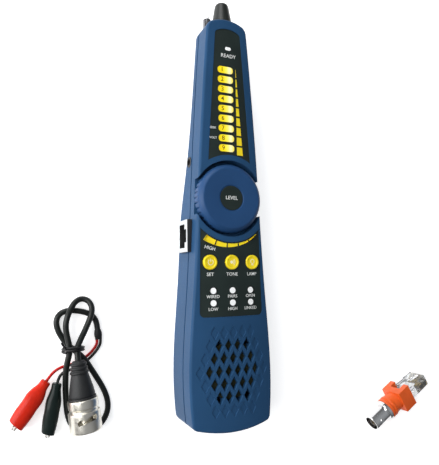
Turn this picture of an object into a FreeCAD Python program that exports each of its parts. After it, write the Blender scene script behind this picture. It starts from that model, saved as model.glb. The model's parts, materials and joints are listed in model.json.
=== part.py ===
import FreeCAD, Part
import math
import os
import re
import Sketcher
from FreeCAD import Placement, Rotation, Vector

# Tone probe kit: a handheld receiver, a coax lead with two clips, and a coax to modular plug adapter.
# The receiver lies on its back on the plane z = 0 with its front face up and its probe tip towards +Y.
# The origin is the centre of the flat stretch of its back. The lead lies on the -X side and the adapter
# on the +X side, both on the same plane.

DIMENSIONS = {
    # receiver case
    "case_height": 28.5, "crown_radius": 100, "wall": 2.2, "parting_height": 16.5,
    "tail_end": -50.4, "tail_half_width": 20.9, "grip_place": -27, "grip_half_width": 22.3,
    "waist_place": 14, "waist_half_width": 19.9, "neck_place": 81, "neck_half_width": 16.3,
    "brow_place": 116, "brow_half_width": 14.1, "nose_end": 153.2, "nose_half_width": 11.25,
    "end_bulge": 3, "tail_corner_radius": 3.2, "nose_corner_radius": 5, "front_edge_radius": 1.3,
    "back_edge_radius": 2.5, "groove_half_width": 0.5, "groove_depth": 0.7,
    "flat_back_end": 46, "nose_back_height": 10.6, "half_span": 50,
    # dial
    "dial_place": 61.3, "dial_radius": 17.6, "dial_base": 22.4, "dial_top": 29.6, "dial_bevel": 2.2,
    "dial_bevel_height": 2.6, "well_radius": 19.5, "well_floor": 20.9, "well_floor_thickness": 1, "label_radius": 6.3,
    "label_depth": 0.5, "shaft_radius": 3, "shaft_clearance": 0.4, "flute_depth": 0.6,
    "flute_half_width": 0.75, "flute_count": 40, "flute_top": 26.8,
    # front panels
    "rim_band": 2.8, "overlay_inset": 0.3, "recess_depth": 1.1, "upper_panel_end": 150.8,
    "upper_panel_foot": 11.9, "upper_panel_head": 7.2, "lower_panel_end": 2.2,
    "lower_panel_head": 16.4, "lower_panel_foot": 17.3, "panel_corner": 2.4,
    # level windows and indicator lamps
    "window_count": 9, "window_first": 128.4, "window_pitch": 5.17, "window_left": -6,
    "window_right": 2.5, "window_width": 3.6, "window_corner": 1.4, "window_base": 23.4,
    "power_place": 140.1, "power_length": 3.2, "power_width": 1.7, "lamp_radius": 1.55,
    "lamp_spacing": 10.3, "lamp_upper_row": 15, "lamp_lower_row": 9, "lamp_base": 20.6,
    # buttons
    "button_row": 29, "button_spacing": 11.6, "button_radius": 3.7, "button_gap": 0.15,
    "button_flange_radius": 4.3, "button_base": 24, "button_flange_top": 24.8, "button_proud": 0.6,
    "switch_width": 6, "switch_height": 2, "plunger_radius": 1.7, "plunger_height": 0.6,
    # speaker and its grille
    "speaker_place": -24.1, "speaker_radius": 14, "speaker_base": 20.9, "speaker_top": 24.8,
    "cloth_thickness": 0.3, "seat_wall": 1.3, "diamond_half_width": 2.0, "diamond_half_length": 3.25,
    "diamond_pitch": 4.97, "diamond_row_pitch": 6.17, "diamond_bevel": 0.28, "diamond_bevel_depth": 0.45,
    "dimple_depth": 0.35,
    # board and what stands on it
    "board_base": 19.2, "board_thickness": 1.4, "board_start": 7, "board_end": 141.2,
    "board_margin": 2.4, "pot_radius": 6, "pot_height": 6.5, "chip_length": 3, "chip_width": 1.6,
    "chip_height": 0.8,
    # network socket in the left side
    "socket_start": 34.5, "socket_width": 16.5, "socket_base": 7, "socket_height": 13,
    "socket_proud": 1.7, "socket_inner": -4, "socket_flange": 1.2, "socket_body_gap": 0.9,
    "socket_depth": 12.6, "socket_mouth_width": 12, "socket_mouth_base": 8.4, "socket_mouth_height": 7.4,
    "notch_width": 6.4, "notch_height": 2.4,
    # earphone socket in the left side
    "ear_place": 82, "ear_height": 12.6, "ear_hole_radius": 2.9, "ear_radius": 2.8, "ear_body_radius": 2.6,
    "ear_collar": 3, "ear_bore": 1.8, "ear_length": 13,
    # probe tip, its rod and the torch
    "tip_side": 0.8, "tip_height": 19.7, "tip_hole": 6, "tip_radius": 5.9, "tip_flange": 6.5,
    "tip_flange_start": 149.5, "tip_flange_end": 151.6, "tip_cone_start": 156, "tip_end": 169,
    "tip_end_radius": 3.3,
    "rod_radius": 2, "rod_start": 142, "rod_end": 165.5, "coil_radius": 3.6, "coil_end": 149.2,
    "torch_side": -7.6, "torch_height": 18.6, "torch_radius": 1.5, "torch_bezel_radius": 2.1,
    "torch_start": 149.8, "torch_end": 161.5,
    # battery and its door
    "battery_width": 26.2, "battery_length": 48.3, "battery_thickness": 17.2, "battery_start": -49,
    "battery_base": 2.4, "stud_length": 2.4, "snap_thickness": 2.4, "door_half_width": 15,
    "door_end": -2, "door_lip": 7, "door_gap": 0.3,
    # case screws
    "pin_radius": 1.1, "pin_side": 12.6, "pin_place": 5.5, "pin_top": 25.2,
    "boss_radius": 2.3, "boss_hole": 1.25, "screw_radius": 1.2, "screw_head_radius": 2.3,
    "screw_head_height": 1.4, "screw_end": 21.5, "tail_screw_side": 16.2, "tail_screw_place": 3,
    "nose_screw_side": 7.4, "nose_screw_place": 144, "screw_sink": 1.2,
    # adapter, along its own axis from the coax mouth
    "adapter_axis_height": 7.3, "jack_radius": 4.8, "jack_bore": 4.05, "jack_bore_depth": 9,
    "jack_length": 16, "lug_place": 4.6, "lug_radius": 1, "lug_reach": 5.5, "flange_start": 11,
    "flange_end": 13.5, "flange_radius": 6.4, "rib_radius": 6.5, "rib_groove": 5.9, "neck_radius": 6.1,
    "block_start": 22.5, "block_end": 31.5, "block_half_width": 7.25, "block_half_height": 6.6,
    "plug_start": 26.4, "plug_end": 47, "plug_half_width": 5.84, "plug_base": -4, "plug_top": 2.6,
    "catch_half_width": 3.1, "lever_half_width": 1.7, "latch_thickness": 1.2, "latch_root": 45.3,
    "latch_gap": 0.12, "latch_tail": 29.5, "latch_rise": 3.2, "notch_half_width": 3.6, "notch_floor": 2,
    "contact_pitch": 1.02, "contact_thickness": 0.35, "contact_start": 40.5, "contact_length": 6.1,
    "contact_height": 2.4, "contact_proud": 0.15, "post_radius": 2.4, "post_start": 0.9,
    "jack_pin_radius": 1.1, "jack_pin_bore": 0.7,
    # coax plug, along its own axis from the cable
    "boot_length": 16.5, "boot_rear_radius": 3, "boot_front_radius": 6, "boot_rib": 0.55,
    "boot_cavity": 2.9, "boot_cavity_start": 7.5, "collar_radius": 5.9, "collar_end": 19.4,
    "shield_radius": 3.95, "shield_bore": 3.3, "shield_end": 30.2, "nut_start": 17.4, "nut_end": 32,
    "nut_radius": 7.25, "nut_bore": 5, "nut_rear_radius": 6.85, "nut_groove_radius": 6.3,
    "nut_neck_bore": 6.0, "slot_start": 25.2, "slot_width": 2.3, "slot_angle": 75,
    "plug_pin_radius": 0.68, "plug_insulator_start": 21, "plug_insulator_end": 28.2,
    # cables
    "coax_diameter": 2.8, "wire_diameter": 1.4, "shrink_radius": 1.85, "tie_radius": 0.55,
    "tie_ring_radius": 4.9,
    # crocodile clips, along their own axis from the wire
    "clip_axis_height": 3.25, "jaw_length": 24, "pivot_place": 12, "pivot_radius": 0.6,
    "jaw_sheet": 0.45, "outer_jaw_half_width": 1.75, "inner_jaw_half_width": 1.2, "tooth_count": 7,
    "tooth_pitch": 1.1, "tooth_depth": 0.6, "sleeve_wall": 0.45, "crimp_half": 0.95, "crimp_start": 3.4,
}

# Routes, in millimetres in the kit's frame: the coax from the plug's boot through its two loops to the
# heat shrink, and the two wires from the heat shrink to the clips.
COAX_ROUTE = [
    (-71.2, -16.0, 8.3), (-71.56, -13.03, 8.14), (-71.4, -10.0, 7.0), (-69.8, -6.6, 6.0),
    (-67.9, -3.0, 5.3), (-66.2, 0.8, 5.0), (-64.7, 4.6, 5.0), (-64.2, 8.3, 4.1), (-65.8, 11.4, 2.7),
    (-68.9, 12.5, 1.8), (-71.9, 11.2, 2.6), (-74.0, 8.4, 4.3), (-75.6, 5.0, 5.0), (-76.5, 1.4, 5.0),
    (-76.4, -2.2, 4.7), (-75.6, -6.0, 4.9), (-74.7, -9.6, 5.3), (-74.7, -13.2, 5.1),
    (-75.5, -16.8, 4.4), (-76.0, -20.6, 3.7), (-76.1, -24.8, 3.0), (-75.9, -30.0, 1.7),
    (-75.5, -36.0, 1.45), (-74.8, -42.0, 1.45), (-73.0, -46.8, 1.45), (-68.6, -49.8, 1.45),
    (-63.0, -50.2, 1.45), (-58.4, -47.4, 1.45), (-55.8, -42.2, 1.45), (-56.0, -36.8, 1.45),
    (-58.2, -31.2, 1.45), (-61.4, -25.8, 1.5), (-64.2, -21.4, 2.4), (-66.6, -17.6, 3.3),
    (-69.3, -14.4, 3.4), (-72.2, -11.9, 2.8), (-75.2, -9.2, 1.8), (-77.9, -5.6, 1.45),
    (-80.0, -1.6, 1.45), (-80.6, 2.4, 1.45), (-79.2, 5.4, 1.45), (-76.0, 6.9, 1.45),
    (-72.2, 6.8, 1.45), (-68.4, 6.1, 1.45), (-65.0, 4.9, 1.45), (-62.5, 2.6, 1.8), (-61.5, -0.4, 1.9),
    (-61.2, -3.0, 1.9),
]
RED_ROUTE = [
    (-61.48, -7.7, 1.9), (-61.3, -9.3, 1.8), (-62.0, -11.2, 1.1), (-64.2, -14.0, 0.8),
    (-67.6, -16.6, 0.8), (-71.2, -18.4, 0.8), (-74.8, -19.1, 0.8), (-78.2, -19.6, 0.9),
    (-81.6, -21.4, 2.0), (-84.2, -24.33, 3.25), (-86.56, -27.68, 3.25),
]
BLACK_ROUTE = [
    (-59.8, -7.5, 1.9), (-59.6, -9.1, 1.8), (-60.4, -11.6, 1.1), (-62.8, -14.8, 0.8),
    (-66.2, -17.8, 0.8), (-70.0, -20.0, 0.8), (-73.9, -21.3, 0.8), (-77.8, -22.5, 0.85),
    (-79.78, -25.6, 3.25), (-80.46, -29.65, 3.25),
]

document = FreeCAD.newDocument("tone_probe_kit")
sheet = document.addObject("Spreadsheet::Sheet", "dims")
nodes = []


def fill_sheet():
    """Write every driving dimension into the spreadsheet under its own alias."""
    for row, (alias, number) in enumerate(DIMENSIONS.items(), start=1):
        sheet.set("A%d" % row, alias)
        sheet.set("B%d" % row, str(number))
        sheet.setAlias("B%d" % row, alias)
    document.recompute()


def bound(formula):
    """Write a formula of aliases as an expression that reads the spreadsheet."""
    def qualify(word):
        return "dims." + word.group() if word.group() in DIMENSIONS else word.group()
    return re.sub(r"[a-z_]+", qualify, str(formula))


def value(formula):
    """The number that a formula of aliases has now."""
    return float(sheet.evalExpression(bound(formula)))


def keep(item, label):
    """Make an object a named piece of the kit."""
    item.Label = label
    nodes.append(item)
    return item


# ---- helpers for PartDesign bodies and Part primitives ----

def new_body(name):
    return document.addObject("PartDesign::Body", name)


def origin_plane(body, role):
    return [feature for feature in body.Origin.OriginFeatures if feature.Role == role][0]


def polygon_sketch(body, plane, corners):
    """A closed polygon whose corners are tied to the spreadsheet by signed distances from the origin."""
    sketch = body.newObject("Sketcher::SketchObject", body.Name + "_sketch")
    sketch.AttachmentSupport = (origin_plane(body, plane), [""])
    sketch.MapMode = "FlatFace"
    places = [Vector(value(across), value(up), 0) for across, up in corners]
    count = len(corners)
    for index in range(count):
        sketch.addGeometry(Part.LineSegment(places[index], places[(index + 1) % count]), False)
    for index in range(count):
        sketch.addConstraint(Sketcher.Constraint("Coincident", index, 2, (index + 1) % count, 1))
    for index, (across, up) in enumerate(corners):
        place = places[index]
        for kind, distance, formula, axis in (("DistanceX", place.x, across, -2),
                                              ("DistanceY", place.y, up, -1)):
            if abs(distance) < 1e-9:
                sketch.addConstraint(Sketcher.Constraint("PointOnObject", index, 1, axis))
                continue
            rule = sketch.addConstraint(Sketcher.Constraint(kind, -1, 1, index, 1, distance))
            sketch.setExpression("Constraints[%d]" % rule, bound(formula))
    return sketch


def turned(body, corners, plane="XY_Plane", axis="H_Axis"):
    """Turn a profile a full turn about one axis of its sketch."""
    sketch = polygon_sketch(body, plane, corners)
    revolution = body.newObject("PartDesign::Revolution", body.Name + "_turn")
    revolution.Profile = sketch
    revolution.ReferenceAxis = (sketch, [axis])
    revolution.Angle = 360
    return revolution


def turned_node(label, corners, frame=None, plane="XY_Plane", axis="H_Axis"):
    body = new_body(label)
    turned(body, corners, plane, axis)
    if frame:
        body.Placement = frame
    return keep(body, label)


def upright_node(label, corners, across="0", along="0"):
    """A piece turned about a vertical axis that stands at (across, along)."""
    body = turned_node(label, corners, plane="XZ_Plane", axis="V_Axis")
    body.Placement = Placement(Vector(value(across), value(along), 0), Rotation())
    body.setExpression("Placement.Base.x", bound(across))
    body.setExpression("Placement.Base.y", bound(along))
    return body


def padded(body, plane, corners, half_width):
    """Pad a profile the same distance to both sides of its plane."""
    pad = body.newObject("PartDesign::Pad", body.Name + "_pad")
    pad.Profile = polygon_sketch(body, plane, corners)
    pad.SideType = "Symmetric"
    pad.Length = 2 * value(half_width)
    pad.setExpression("Length", bound("2 * (%s)" % half_width))
    return pad


def pocketed(body, plane, corners, half_width):
    """Cut a profile the same distance to both sides of its plane."""
    pocket = body.newObject("PartDesign::Pocket", body.Name + "_pocket")
    pocket.Profile = polygon_sketch(body, plane, corners)
    pocket.SideType = "Symmetric"
    pocket.Length = 2 * value(half_width)
    pocket.setExpression("Length", bound("2 * (%s)" % half_width))
    return pocket


def place_primitive(item, corner, frame):
    """Tie a primitive's corner to the spreadsheet, or set it in a piece's own frame."""
    offset = Vector(*[value(formula) for formula in corner])
    if frame:
        item.Placement = frame.multiply(Placement(offset, item.Placement.Rotation))
        return item
    item.Placement = Placement(offset, item.Placement.Rotation)
    for letter, formula in zip("xyz", corner):
        item.setExpression("Placement.Base." + letter, bound(formula))
    return item


def block(name, size, corner, frame=None):
    item = document.addObject("Part::Box", name)
    for side, formula in zip(("Length", "Width", "Height"), size):
        item.setExpression(side, bound(formula))
    return place_primitive(item, corner, frame)


def rod(name, radius, height, foot, direction=Vector(0, 0, 1), frame=None):
    item = document.addObject("Part::Cylinder", name)
    item.setExpression("Radius", bound(radius))
    item.setExpression("Height", bound(height))
    item.Placement = Placement(Vector(), Rotation(Vector(0, 0, 1), direction))
    return place_primitive(item, foot, frame)


def group(name, members):
    item = document.addObject("Part::Compound", name)
    item.Links = members
    return item


def fused(name, members):
    item = document.addObject("Part::MultiFuse", name)
    item.Shapes = members
    return item


def cut(name, base, tool):
    item = document.addObject("Part::Cut", name)
    item.Base = base
    item.Tool = tool
    return item


def shaped_node(label, shape, frame=None):
    """A free-form piece whose shape is built from the sheet's sizes by Part's own functions."""
    item = document.addObject("Part::Feature", label)
    item.Shape = shape
    if frame:
        item.Placement = frame
    return keep(item, label)


# ---- the receiver's outer form ----

def spline(points, start=None, finish=None):
    curve = Part.BSplineCurve()
    if start:
        curve.interpolate(Points=points, InitialTangent=start, FinalTangent=finish)
    else:
        curve.interpolate(points)
    return curve.toShape()


def wire_of(points):
    """A closed wire of straight lines through a list of points."""
    return Part.makePolygon(points + points[:1])


def prism(wire, direction):
    return Part.Face(wire).extrude(direction)


def case_outline(inset):
    """The case seen from the front, drawn in by an inset all round."""
    stations = [("tail_end", "tail_half_width", inset), ("grip_place", "grip_half_width", 0),
                ("waist_place", "waist_half_width", 0), ("neck_place", "neck_half_width", 0),
                ("brow_place", "brow_half_width", 0), ("nose_end", "nose_half_width", -inset)]
    right = [Vector(value(width) - inset, value(place) + shift, 0) for place, width, shift in stations]
    left = [Vector(-point.x, point.y, 0) for point in reversed(right)]
    bulge = value("end_bulge")
    nose = Part.Arc(right[-1], Vector(0, right[-1].y + bulge, 0), left[0]).toShape()
    tail = Part.Arc(left[-1], Vector(0, left[-1].y - bulge, 0), right[0]).toShape()
    return Part.Wire([spline(right), nose, spline(left), tail])


def is_vertical(edge):
    first, last = edge.Vertexes[0].Point, edge.Vertexes[-1].Point
    return math.hypot(first.x - last.x, first.y - last.y) < 1e-6


def crowned_block(inset):
    """Everything below the case's crowned front, drawn in by an inset."""
    half, height = value("half_span"), value("case_height") - inset
    radius = value("crown_radius") - inset
    drop = radius - math.sqrt(radius ** 2 - half ** 2)
    start = -2 * half
    shoulder, foot = height - drop, -half
    left, right = Vector(-half, start, shoulder), Vector(half, start, shoulder)
    arc = Part.Arc(left, Vector(0, start, height), right).toShape()
    sides = Part.makePolygon([right, Vector(half, start, foot), Vector(-half, start, foot), left])
    return prism(Part.Wire([arc] + sides.Edges), Vector(0, 6 * half, 0))


def back_block(inset):
    """Everything above the case's back: flat for most of its length, then rising towards the nose."""
    half, flat_end = value("half_span"), value("flat_back_end")
    rise, nose = value("nose_back_height"), value("nose_end") + 14
    reach = nose - flat_end
    start = Vector(-half, flat_end, inset)
    middle = [Vector(-half, flat_end + reach * share, inset + rise * lift)
              for share, lift in ((0.15, 0.26), (0.36, 0.77), (0.55, 0.95))]
    finish = Vector(-half, nose, inset + rise)
    curve = spline([start] + middle + [finish], Vector(0, 1, 0), Vector(0, 1, 0))
    corners = [finish, Vector(-half, nose, half), Vector(-half, -2 * half, half),
               Vector(-half, -2 * half, inset), start]
    return prism(Part.Wire([curve] + Part.makePolygon(corners).Edges), Vector(2 * half, 0, 0))


def edges_between(solid, first_side, second_side):
    """Edges where a face looking one way meets another: 1 is up, -1 is down and 0 is sideways."""
    def side(face):
        low_u, high_u, low_v, high_v = face.ParameterRange
        normal = face.normalAt((low_u + high_u) / 2, (low_v + high_v) / 2)
        return 1 if normal.z > 0.7 else (-1 if normal.z < -0.7 else 0)
    wanted = sorted((first_side, second_side))
    return [edge for edge in solid.Edges
            if sorted(side(face) for face in solid.ancestorsOfType(edge, Part.Face)) == wanted]


def case_form(inset, rounded):
    """The case as a solid, drawn in by an inset, with its long edges rounded or left sharp."""
    half = value("half_span")
    outline = prism(case_outline(inset), Vector(0, 0, 2 * half))
    outline.translate(Vector(0, 0, -half / 2))
    for radius, side in (("tail_corner_radius", -1), ("nose_corner_radius", 1)):
        corners = [edge for edge in outline.Edges if is_vertical(edge) and side * edge.Vertexes[0].Y > 0]
        outline = outline.makeFillet(max(value(radius) - inset, 0.4), corners)
    solid = outline.common(back_block(inset)).common(crowned_block(inset))
    if rounded:
        solid = solid.makeFillet(value("front_edge_radius"), edges_between(solid, 1, 0))
        solid = solid.makeFillet(value("back_edge_radius"), edges_between(solid, -1, 0))
    return solid


def half_space(low, high):
    """A slab of the case's whole plan between two heights."""
    half = value("half_span")
    return Part.makeBox(2 * half, 6 * half, high - low, Vector(-half, -2 * half, low))


def upright_prism(corners, low=0.0, high=60.0, rounding=0.0):
    solid = prism(wire_of([Vector(across, along, low) for across, along in corners]),
                  Vector(0, 0, high - low))
    if rounding:
        solid = solid.makeFillet(rounding, [edge for edge in solid.Edges if is_vertical(edge)])
    return solid


def upright_cylinder(radius, low, high, across=0.0, along=0.0):
    return Part.makeCylinder(radius, high - low, Vector(across, along, low))


# ---- outlines of what shows on the receiver's front ----

def panel_arc_radius():
    return value("well_radius + rim_band")


def arc_end(half_width, side):
    """A point on the panels' arc round the dial, at a distance from the centre line."""
    rise = math.sqrt(panel_arc_radius() ** 2 - half_width ** 2)
    return Vector(half_width, value("dial_place") + side * rise, 0)


def round_upright_edges(solid, radius, near):
    """Round the upright edges of a prism that stand near a list of corners."""
    chosen = [edge for edge in solid.Edges if is_vertical(edge)
              and any(edge.Vertexes[0].Point.distanceToPoint(Vector(corner.x, corner.y,
                      edge.Vertexes[0].Point.z)) < 0.1 for corner in near)]
    return solid.makeFillet(radius, chosen)


def upper_panel_prism():
    foot, head, end = value("upper_panel_foot"), value("upper_panel_head"), value("upper_panel_end")
    right_foot, left_foot = arc_end(foot, 1), arc_end(foot, 1)
    left_foot.x = -foot
    crest = Vector(0, value("dial_place") + panel_arc_radius(), 0)
    right_head, left_head = Vector(head, end - 2, 0), Vector(-head, end - 2, 0)
    edges = [Part.Arc(left_foot, crest, right_foot).toShape(),
             Part.LineSegment(right_foot, right_head).toShape(),
             Part.Arc(right_head, Vector(0, end, 0), left_head).toShape(),
             Part.LineSegment(left_head, left_foot).toShape()]
    solid = prism(Part.Wire(edges), Vector(0, 0, 60))
    return round_upright_edges(solid, value("panel_corner"), [right_head, left_head])


def lower_panel_prism():
    head, foot, end = value("lower_panel_head"), value("lower_panel_foot"), value("lower_panel_end")
    right_head, left_head = arc_end(head, -1), arc_end(head, -1)
    left_head.x = -head
    dip = Vector(0, value("dial_place") - panel_arc_radius(), 0)
    right_foot, left_foot = Vector(foot, end, 0), Vector(-foot, end, 0)
    edges = [Part.Arc(left_head, dip, right_head).toShape(),
             Part.LineSegment(right_head, right_foot).toShape(),
             Part.LineSegment(right_foot, left_foot).toShape(),
             Part.LineSegment(left_foot, left_head).toShape()]
    solid = prism(Part.Wire(edges), Vector(0, 0, 60))
    return round_upright_edges(solid, value("panel_corner"), [right_foot, left_foot])


def window_prisms():
    """The level windows as upright prisms with rounded corners."""
    left, right, half = value("window_left"), value("window_right"), value("window_width") / 2
    prisms = []
    for index in range(int(value("window_count"))):
        along = value("window_first") - index * value("window_pitch")
        corners = [(left, along - half), (right, along - half), (right, along + half), (left, along + half)]
        prisms.append(upright_prism(corners, value("window_base"), 40, value("window_corner")))
    return prisms


def power_prism():
    across, along = value("power_length") / 2, value("power_width") / 2
    place = value("power_place")
    corners = [(-across, place - along), (across, place - along),
               (across, place + along), (-across, place + along)]
    return upright_prism(corners, value("window_base"), 40, along * 0.9)


def lamp_places():
    spacing = value("lamp_spacing")
    return [(side * spacing, value(row)) for row in ("lamp_upper_row", "lamp_lower_row")
            for side in (-1, 0, 1)]


def button_places():
    return [("button_mode", -1), ("button_test", 0), ("button_lamp", 1)]


def diamond_places():
    """Centres of the grille's openings: rows of four, five, six, five and four."""
    pitch, row_pitch, middle = value("diamond_pitch"), value("diamond_row_pitch"), value("speaker_place")
    places = []
    for row, count in enumerate((4, 5, 6, 5, 4)):
        along = middle + (2 - row) * row_pitch
        places += [((index - (count - 1) / 2) * pitch, along) for index in range(count)]
    return places


def dimple_places():
    """Centres of the shallow recesses that carry the grille's pattern on round its openings."""
    pitch, row_pitch, middle = value("diamond_pitch"), value("diamond_row_pitch"), value("speaker_place")
    places = []
    for row, reach in ((3, 0), (2, 2.5), (1, 3), (0, 3.5), (-1, 3), (-2, 2.5), (-3, 0)):
        columns = (-reach, reach) if reach else (-2, -1, 0, 1, 2)
        places += [(column * pitch, middle + row * row_pitch) for column in columns]
    return places


def diamond_wire(scale_up, height):
    """A diamond's outline at a height, wider than the opening by a margin."""
    wide = value("diamond_half_width") + scale_up
    tall = value("diamond_half_length") + scale_up * 1.5
    return wire_of([Vector(-wide, 0, height), Vector(0, -tall, height), Vector(wide, 0, height),
                    Vector(0, tall, height)])


def sloped_diamond(across, along, depth, shrink):
    """A diamond cutter with sloping sides, turned to stand square on the crowned front."""
    top, slope = value("case_height"), value("diamond_bevel") / value("diamond_bevel_depth")
    foot = diamond_wire(value("diamond_bevel") - slope * depth - shrink, top - depth)
    head = diamond_wire(value("diamond_bevel") + slope * 0.6 - shrink, top + 0.6)
    cutter = Part.makeLoft([foot, head], True, True)
    turn = math.degrees(math.asin(across / value("crown_radius")))
    cutter.rotate(Vector(0, 0, top - value("crown_radius")), Vector(0, 1, 0), turn)
    cutter.translate(Vector(0, along, 0))
    return cutter


def screw_places():
    tail, nose = value("tail_screw_side"), value("nose_screw_side")
    return [(-tail, value("tail_screw_place")), (tail, value("tail_screw_place")),
            (-nose, value("nose_screw_place")), (nose, value("nose_screw_place"))]


def back_height_at(along):
    """Height of the case's back surface at a place on its length."""
    probe = Part.makeLine(Vector(0, along, -5), Vector(0, along, 15))
    return probe.common(back_block(0)).BoundBox.ZMin


# ---- the receiver's shells, door and panels ----

def socket_front():
    """The face of the network socket's flange, proud of the left side."""
    return -value("waist_half_width + socket_proud") + 1.0


def socket_seat():
    """The back of the flange, sunk into the tapering side."""
    return socket_front() + value("socket_flange") + 1.6


def side_hole_cutters():
    """What is cut through the case's left side and its nose, shared by both shells."""
    gap = 0.1
    body_gap = value("socket_body_gap") - gap
    socket = Part.makeBox(20, value("socket_width") - 2 * body_gap, value("socket_height") - 2 * body_gap,
                          Vector(-26, value("socket_start") + body_gap, value("socket_base") + body_gap))
    seat = Part.makeBox(20, value("socket_width"), value("socket_height"),
                        Vector(socket_seat() - 20, value("socket_start"), value("socket_base")))
    ear = Part.makeCylinder(value("ear_hole_radius"), 14,
                            Vector(-24, value("ear_place"), value("ear_height")), Vector(1, 0, 0))
    tip = Part.makeCylinder(value("tip_hole"), 14,
                            Vector(value("tip_side"), value("nose_end") - 3, value("tip_height")),
                            Vector(0, 1, 0))
    torch = Part.makeCylinder(value("torch_bezel_radius") + gap, 16,
                              Vector(value("torch_side"), value("nose_end") - 8, value("torch_height")),
                              Vector(0, 1, 0))
    return [socket, seat, ear, tip, torch]


def case_wall():
    """The hollow case, with a groove round its side where the two shells meet."""
    parting, half = value("parting_height"), value("groove_half_width")
    groove = half_space(parting - half, parting + half).cut(case_form(value("groove_depth"), False))
    return case_form(0, True).cut([case_form(value("wall"), False), groove])


def door_zone(gap):
    """The stretch of the back and tail that the battery door fills, grown by a gap."""
    half, end, lip = value("door_half_width") + gap, value("door_end") + gap, value("door_lip") + gap
    return Part.makeBox(2 * half, end + 80, lip + 10, Vector(-half, -80, -10))


def make_front_shell(wall):
    parting, top = value("parting_height"), value("case_height") - value("wall")
    shell = wall.common(half_space(parting, 60))
    inner = case_form(value("wall") * 0.9, False)
    floor = value("well_floor")
    web = upright_cylinder(value("well_radius") + 1, floor, floor + value("well_floor_thickness"),
                           0, value("dial_place"))
    ring = upright_cylinder(value("well_radius") + 1, floor, 40, 0, value("dial_place"))
    ring = ring.cut(upright_cylinder(value("well_radius"), floor, 40, 0, value("dial_place")))
    ring = ring.common(crowned_block(value("wall") * 0.5))
    bosses = [upright_cylinder(value("boss_radius"), parting, top, across, along)
              for across, along in screw_places()]
    speaker, place = value("speaker_radius") + 0.1, value("speaker_place")
    seat = upright_cylinder(speaker + value("seat_wall"), value("speaker_base + 2"), top, 0, place)
    seat = seat.cut(upright_cylinder(speaker, 0, 40, 0, place))
    shell = shell.fuse([piece.common(inner) for piece in [web, ring, seat] + bosses])
    above_floor = floor + value("well_floor_thickness")
    cutters = side_hole_cutters()
    cutters += [upright_cylinder(value("well_radius"), above_floor, 40, 0, value("dial_place")),
                upright_cylinder(value("shaft_radius + shaft_clearance"), 15, 40, 0, value("dial_place"))]
    recess = upper_panel_prism().fuse(lower_panel_prism()).cut(crowned_block(value("recess_depth")))
    cutters.append(recess)
    cutters += window_prisms() + [power_prism()]
    cutters += [upright_cylinder(value("lamp_radius"), parting, 40, across, along)
                for across, along in lamp_places()]
    cutters += [upright_cylinder(value("button_radius + button_gap"), parting, 40,
                                 side * value("button_spacing"), value("button_row"))
                for _, side in button_places()]
    wide, tall = value("diamond_half_width"), value("diamond_half_length")
    cutters += [upright_prism([(across - wide, along), (across, along - tall),
                               (across + wide, along), (across, along + tall)], parting)
                for across, along in diamond_places()]
    cutters += [sloped_diamond(across, along, value("diamond_bevel_depth"), 0)
                for across, along in diamond_places()]
    cutters += [sloped_diamond(across, along, value("dimple_depth"), 0.15)
                for across, along in dimple_places()]
    cutters += [upright_cylinder(value("boss_hole"), 0, 23, across, along)
                for across, along in screw_places()]
    return shell.cut(cutters)


def make_rear_shell(wall):
    parting = value("parting_height")
    shell = wall.common(half_space(-10, parting))
    inner = case_form(value("wall") * 0.9, False)
    bosses = [upright_cylinder(value("boss_radius") + 0.9, 0, parting, across, along)
              for across, along in screw_places()]
    # two locating pins rise past the board's end to just under the front shell's face
    bosses += [upright_cylinder(value("pin_radius"), 0, value("pin_top"), across, value("pin_place"))
               for across in (-value("pin_side"), value("pin_side"))]
    shell = shell.fuse([boss.common(inner) for boss in bosses])
    cutters = side_hole_cutters() + [door_zone(value("door_gap"))]
    for across, along in screw_places():
        seat = back_height_at(along) + value("screw_sink + screw_head_height")
        cutters.append(upright_cylinder(value("boss_hole"), -5, 30, across, along))
        cutters.append(upright_cylinder(value("screw_head_radius") + 0.2, -5, seat, across, along))
    return shell.cut(cutters)


def make_screws():
    screws = []
    for across, along in screw_places():
        start = back_height_at(along) + value("screw_sink")
        seat = start + value("screw_head_height")
        head = upright_cylinder(value("screw_head_radius"), start, seat, across, along)
        shank = upright_cylinder(value("screw_radius"), seat, value("screw_end"), across, along)
        half, thin, deep = 1.6, 0.3, 0.7
        cross = Part.makeBox(2 * half, 2 * thin, deep, Vector(across - half, along - thin, start))
        cross = cross.fuse(Part.makeBox(2 * thin, 2 * half, deep, Vector(across - thin, along - half, start)))
        screws.append(head.fuse(shank).cut(cross))
    return Part.makeCompound(screws)


def make_overlay(panel):
    """A thin crowned panel in its recess."""
    skin = panel.common(crowned_block(value("overlay_inset"))).cut(crowned_block(value("recess_depth")))
    holes = window_prisms() + [power_prism()]
    holes += [upright_cylinder(value("lamp_radius"), 0, 40, across, along)
              for across, along in lamp_places()]
    holes += [upright_cylinder(value("button_radius + button_gap"), 0, 40,
                               side * value("button_spacing"), value("button_row"))
              for _, side in button_places()]
    return skin.cut(holes)


def build_case():
    wall = case_wall()
    shaped_node("front_shell", make_front_shell(wall))
    shaped_node("rear_shell", make_rear_shell(wall))
    shaped_node("battery_door", wall.common(door_zone(0)))
    shaped_node("upper_overlay", make_overlay(upper_panel_prism()))
    shaped_node("lower_overlay", make_overlay(lower_panel_prism()))
    below_face = crowned_block(0.1)
    shaped_node("level_windows", Part.makeCompound([item.common(below_face) for item in window_prisms()]))
    shaped_node("power_led", power_prism().common(below_face))
    shaped_node("case_screws", make_screws())


def build_lamps():
    lamps = [rod("status_lamp", "lamp_radius", "case_height - lamp_base - 0.5 - %.3f" % (across ** 2 / 200),
                 (across, along, "lamp_base")) for across, along in lamp_places()]
    keep(group("status_leds_group", lamps), "status_leds")


# ---- the receiver's moving pieces ----

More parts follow.
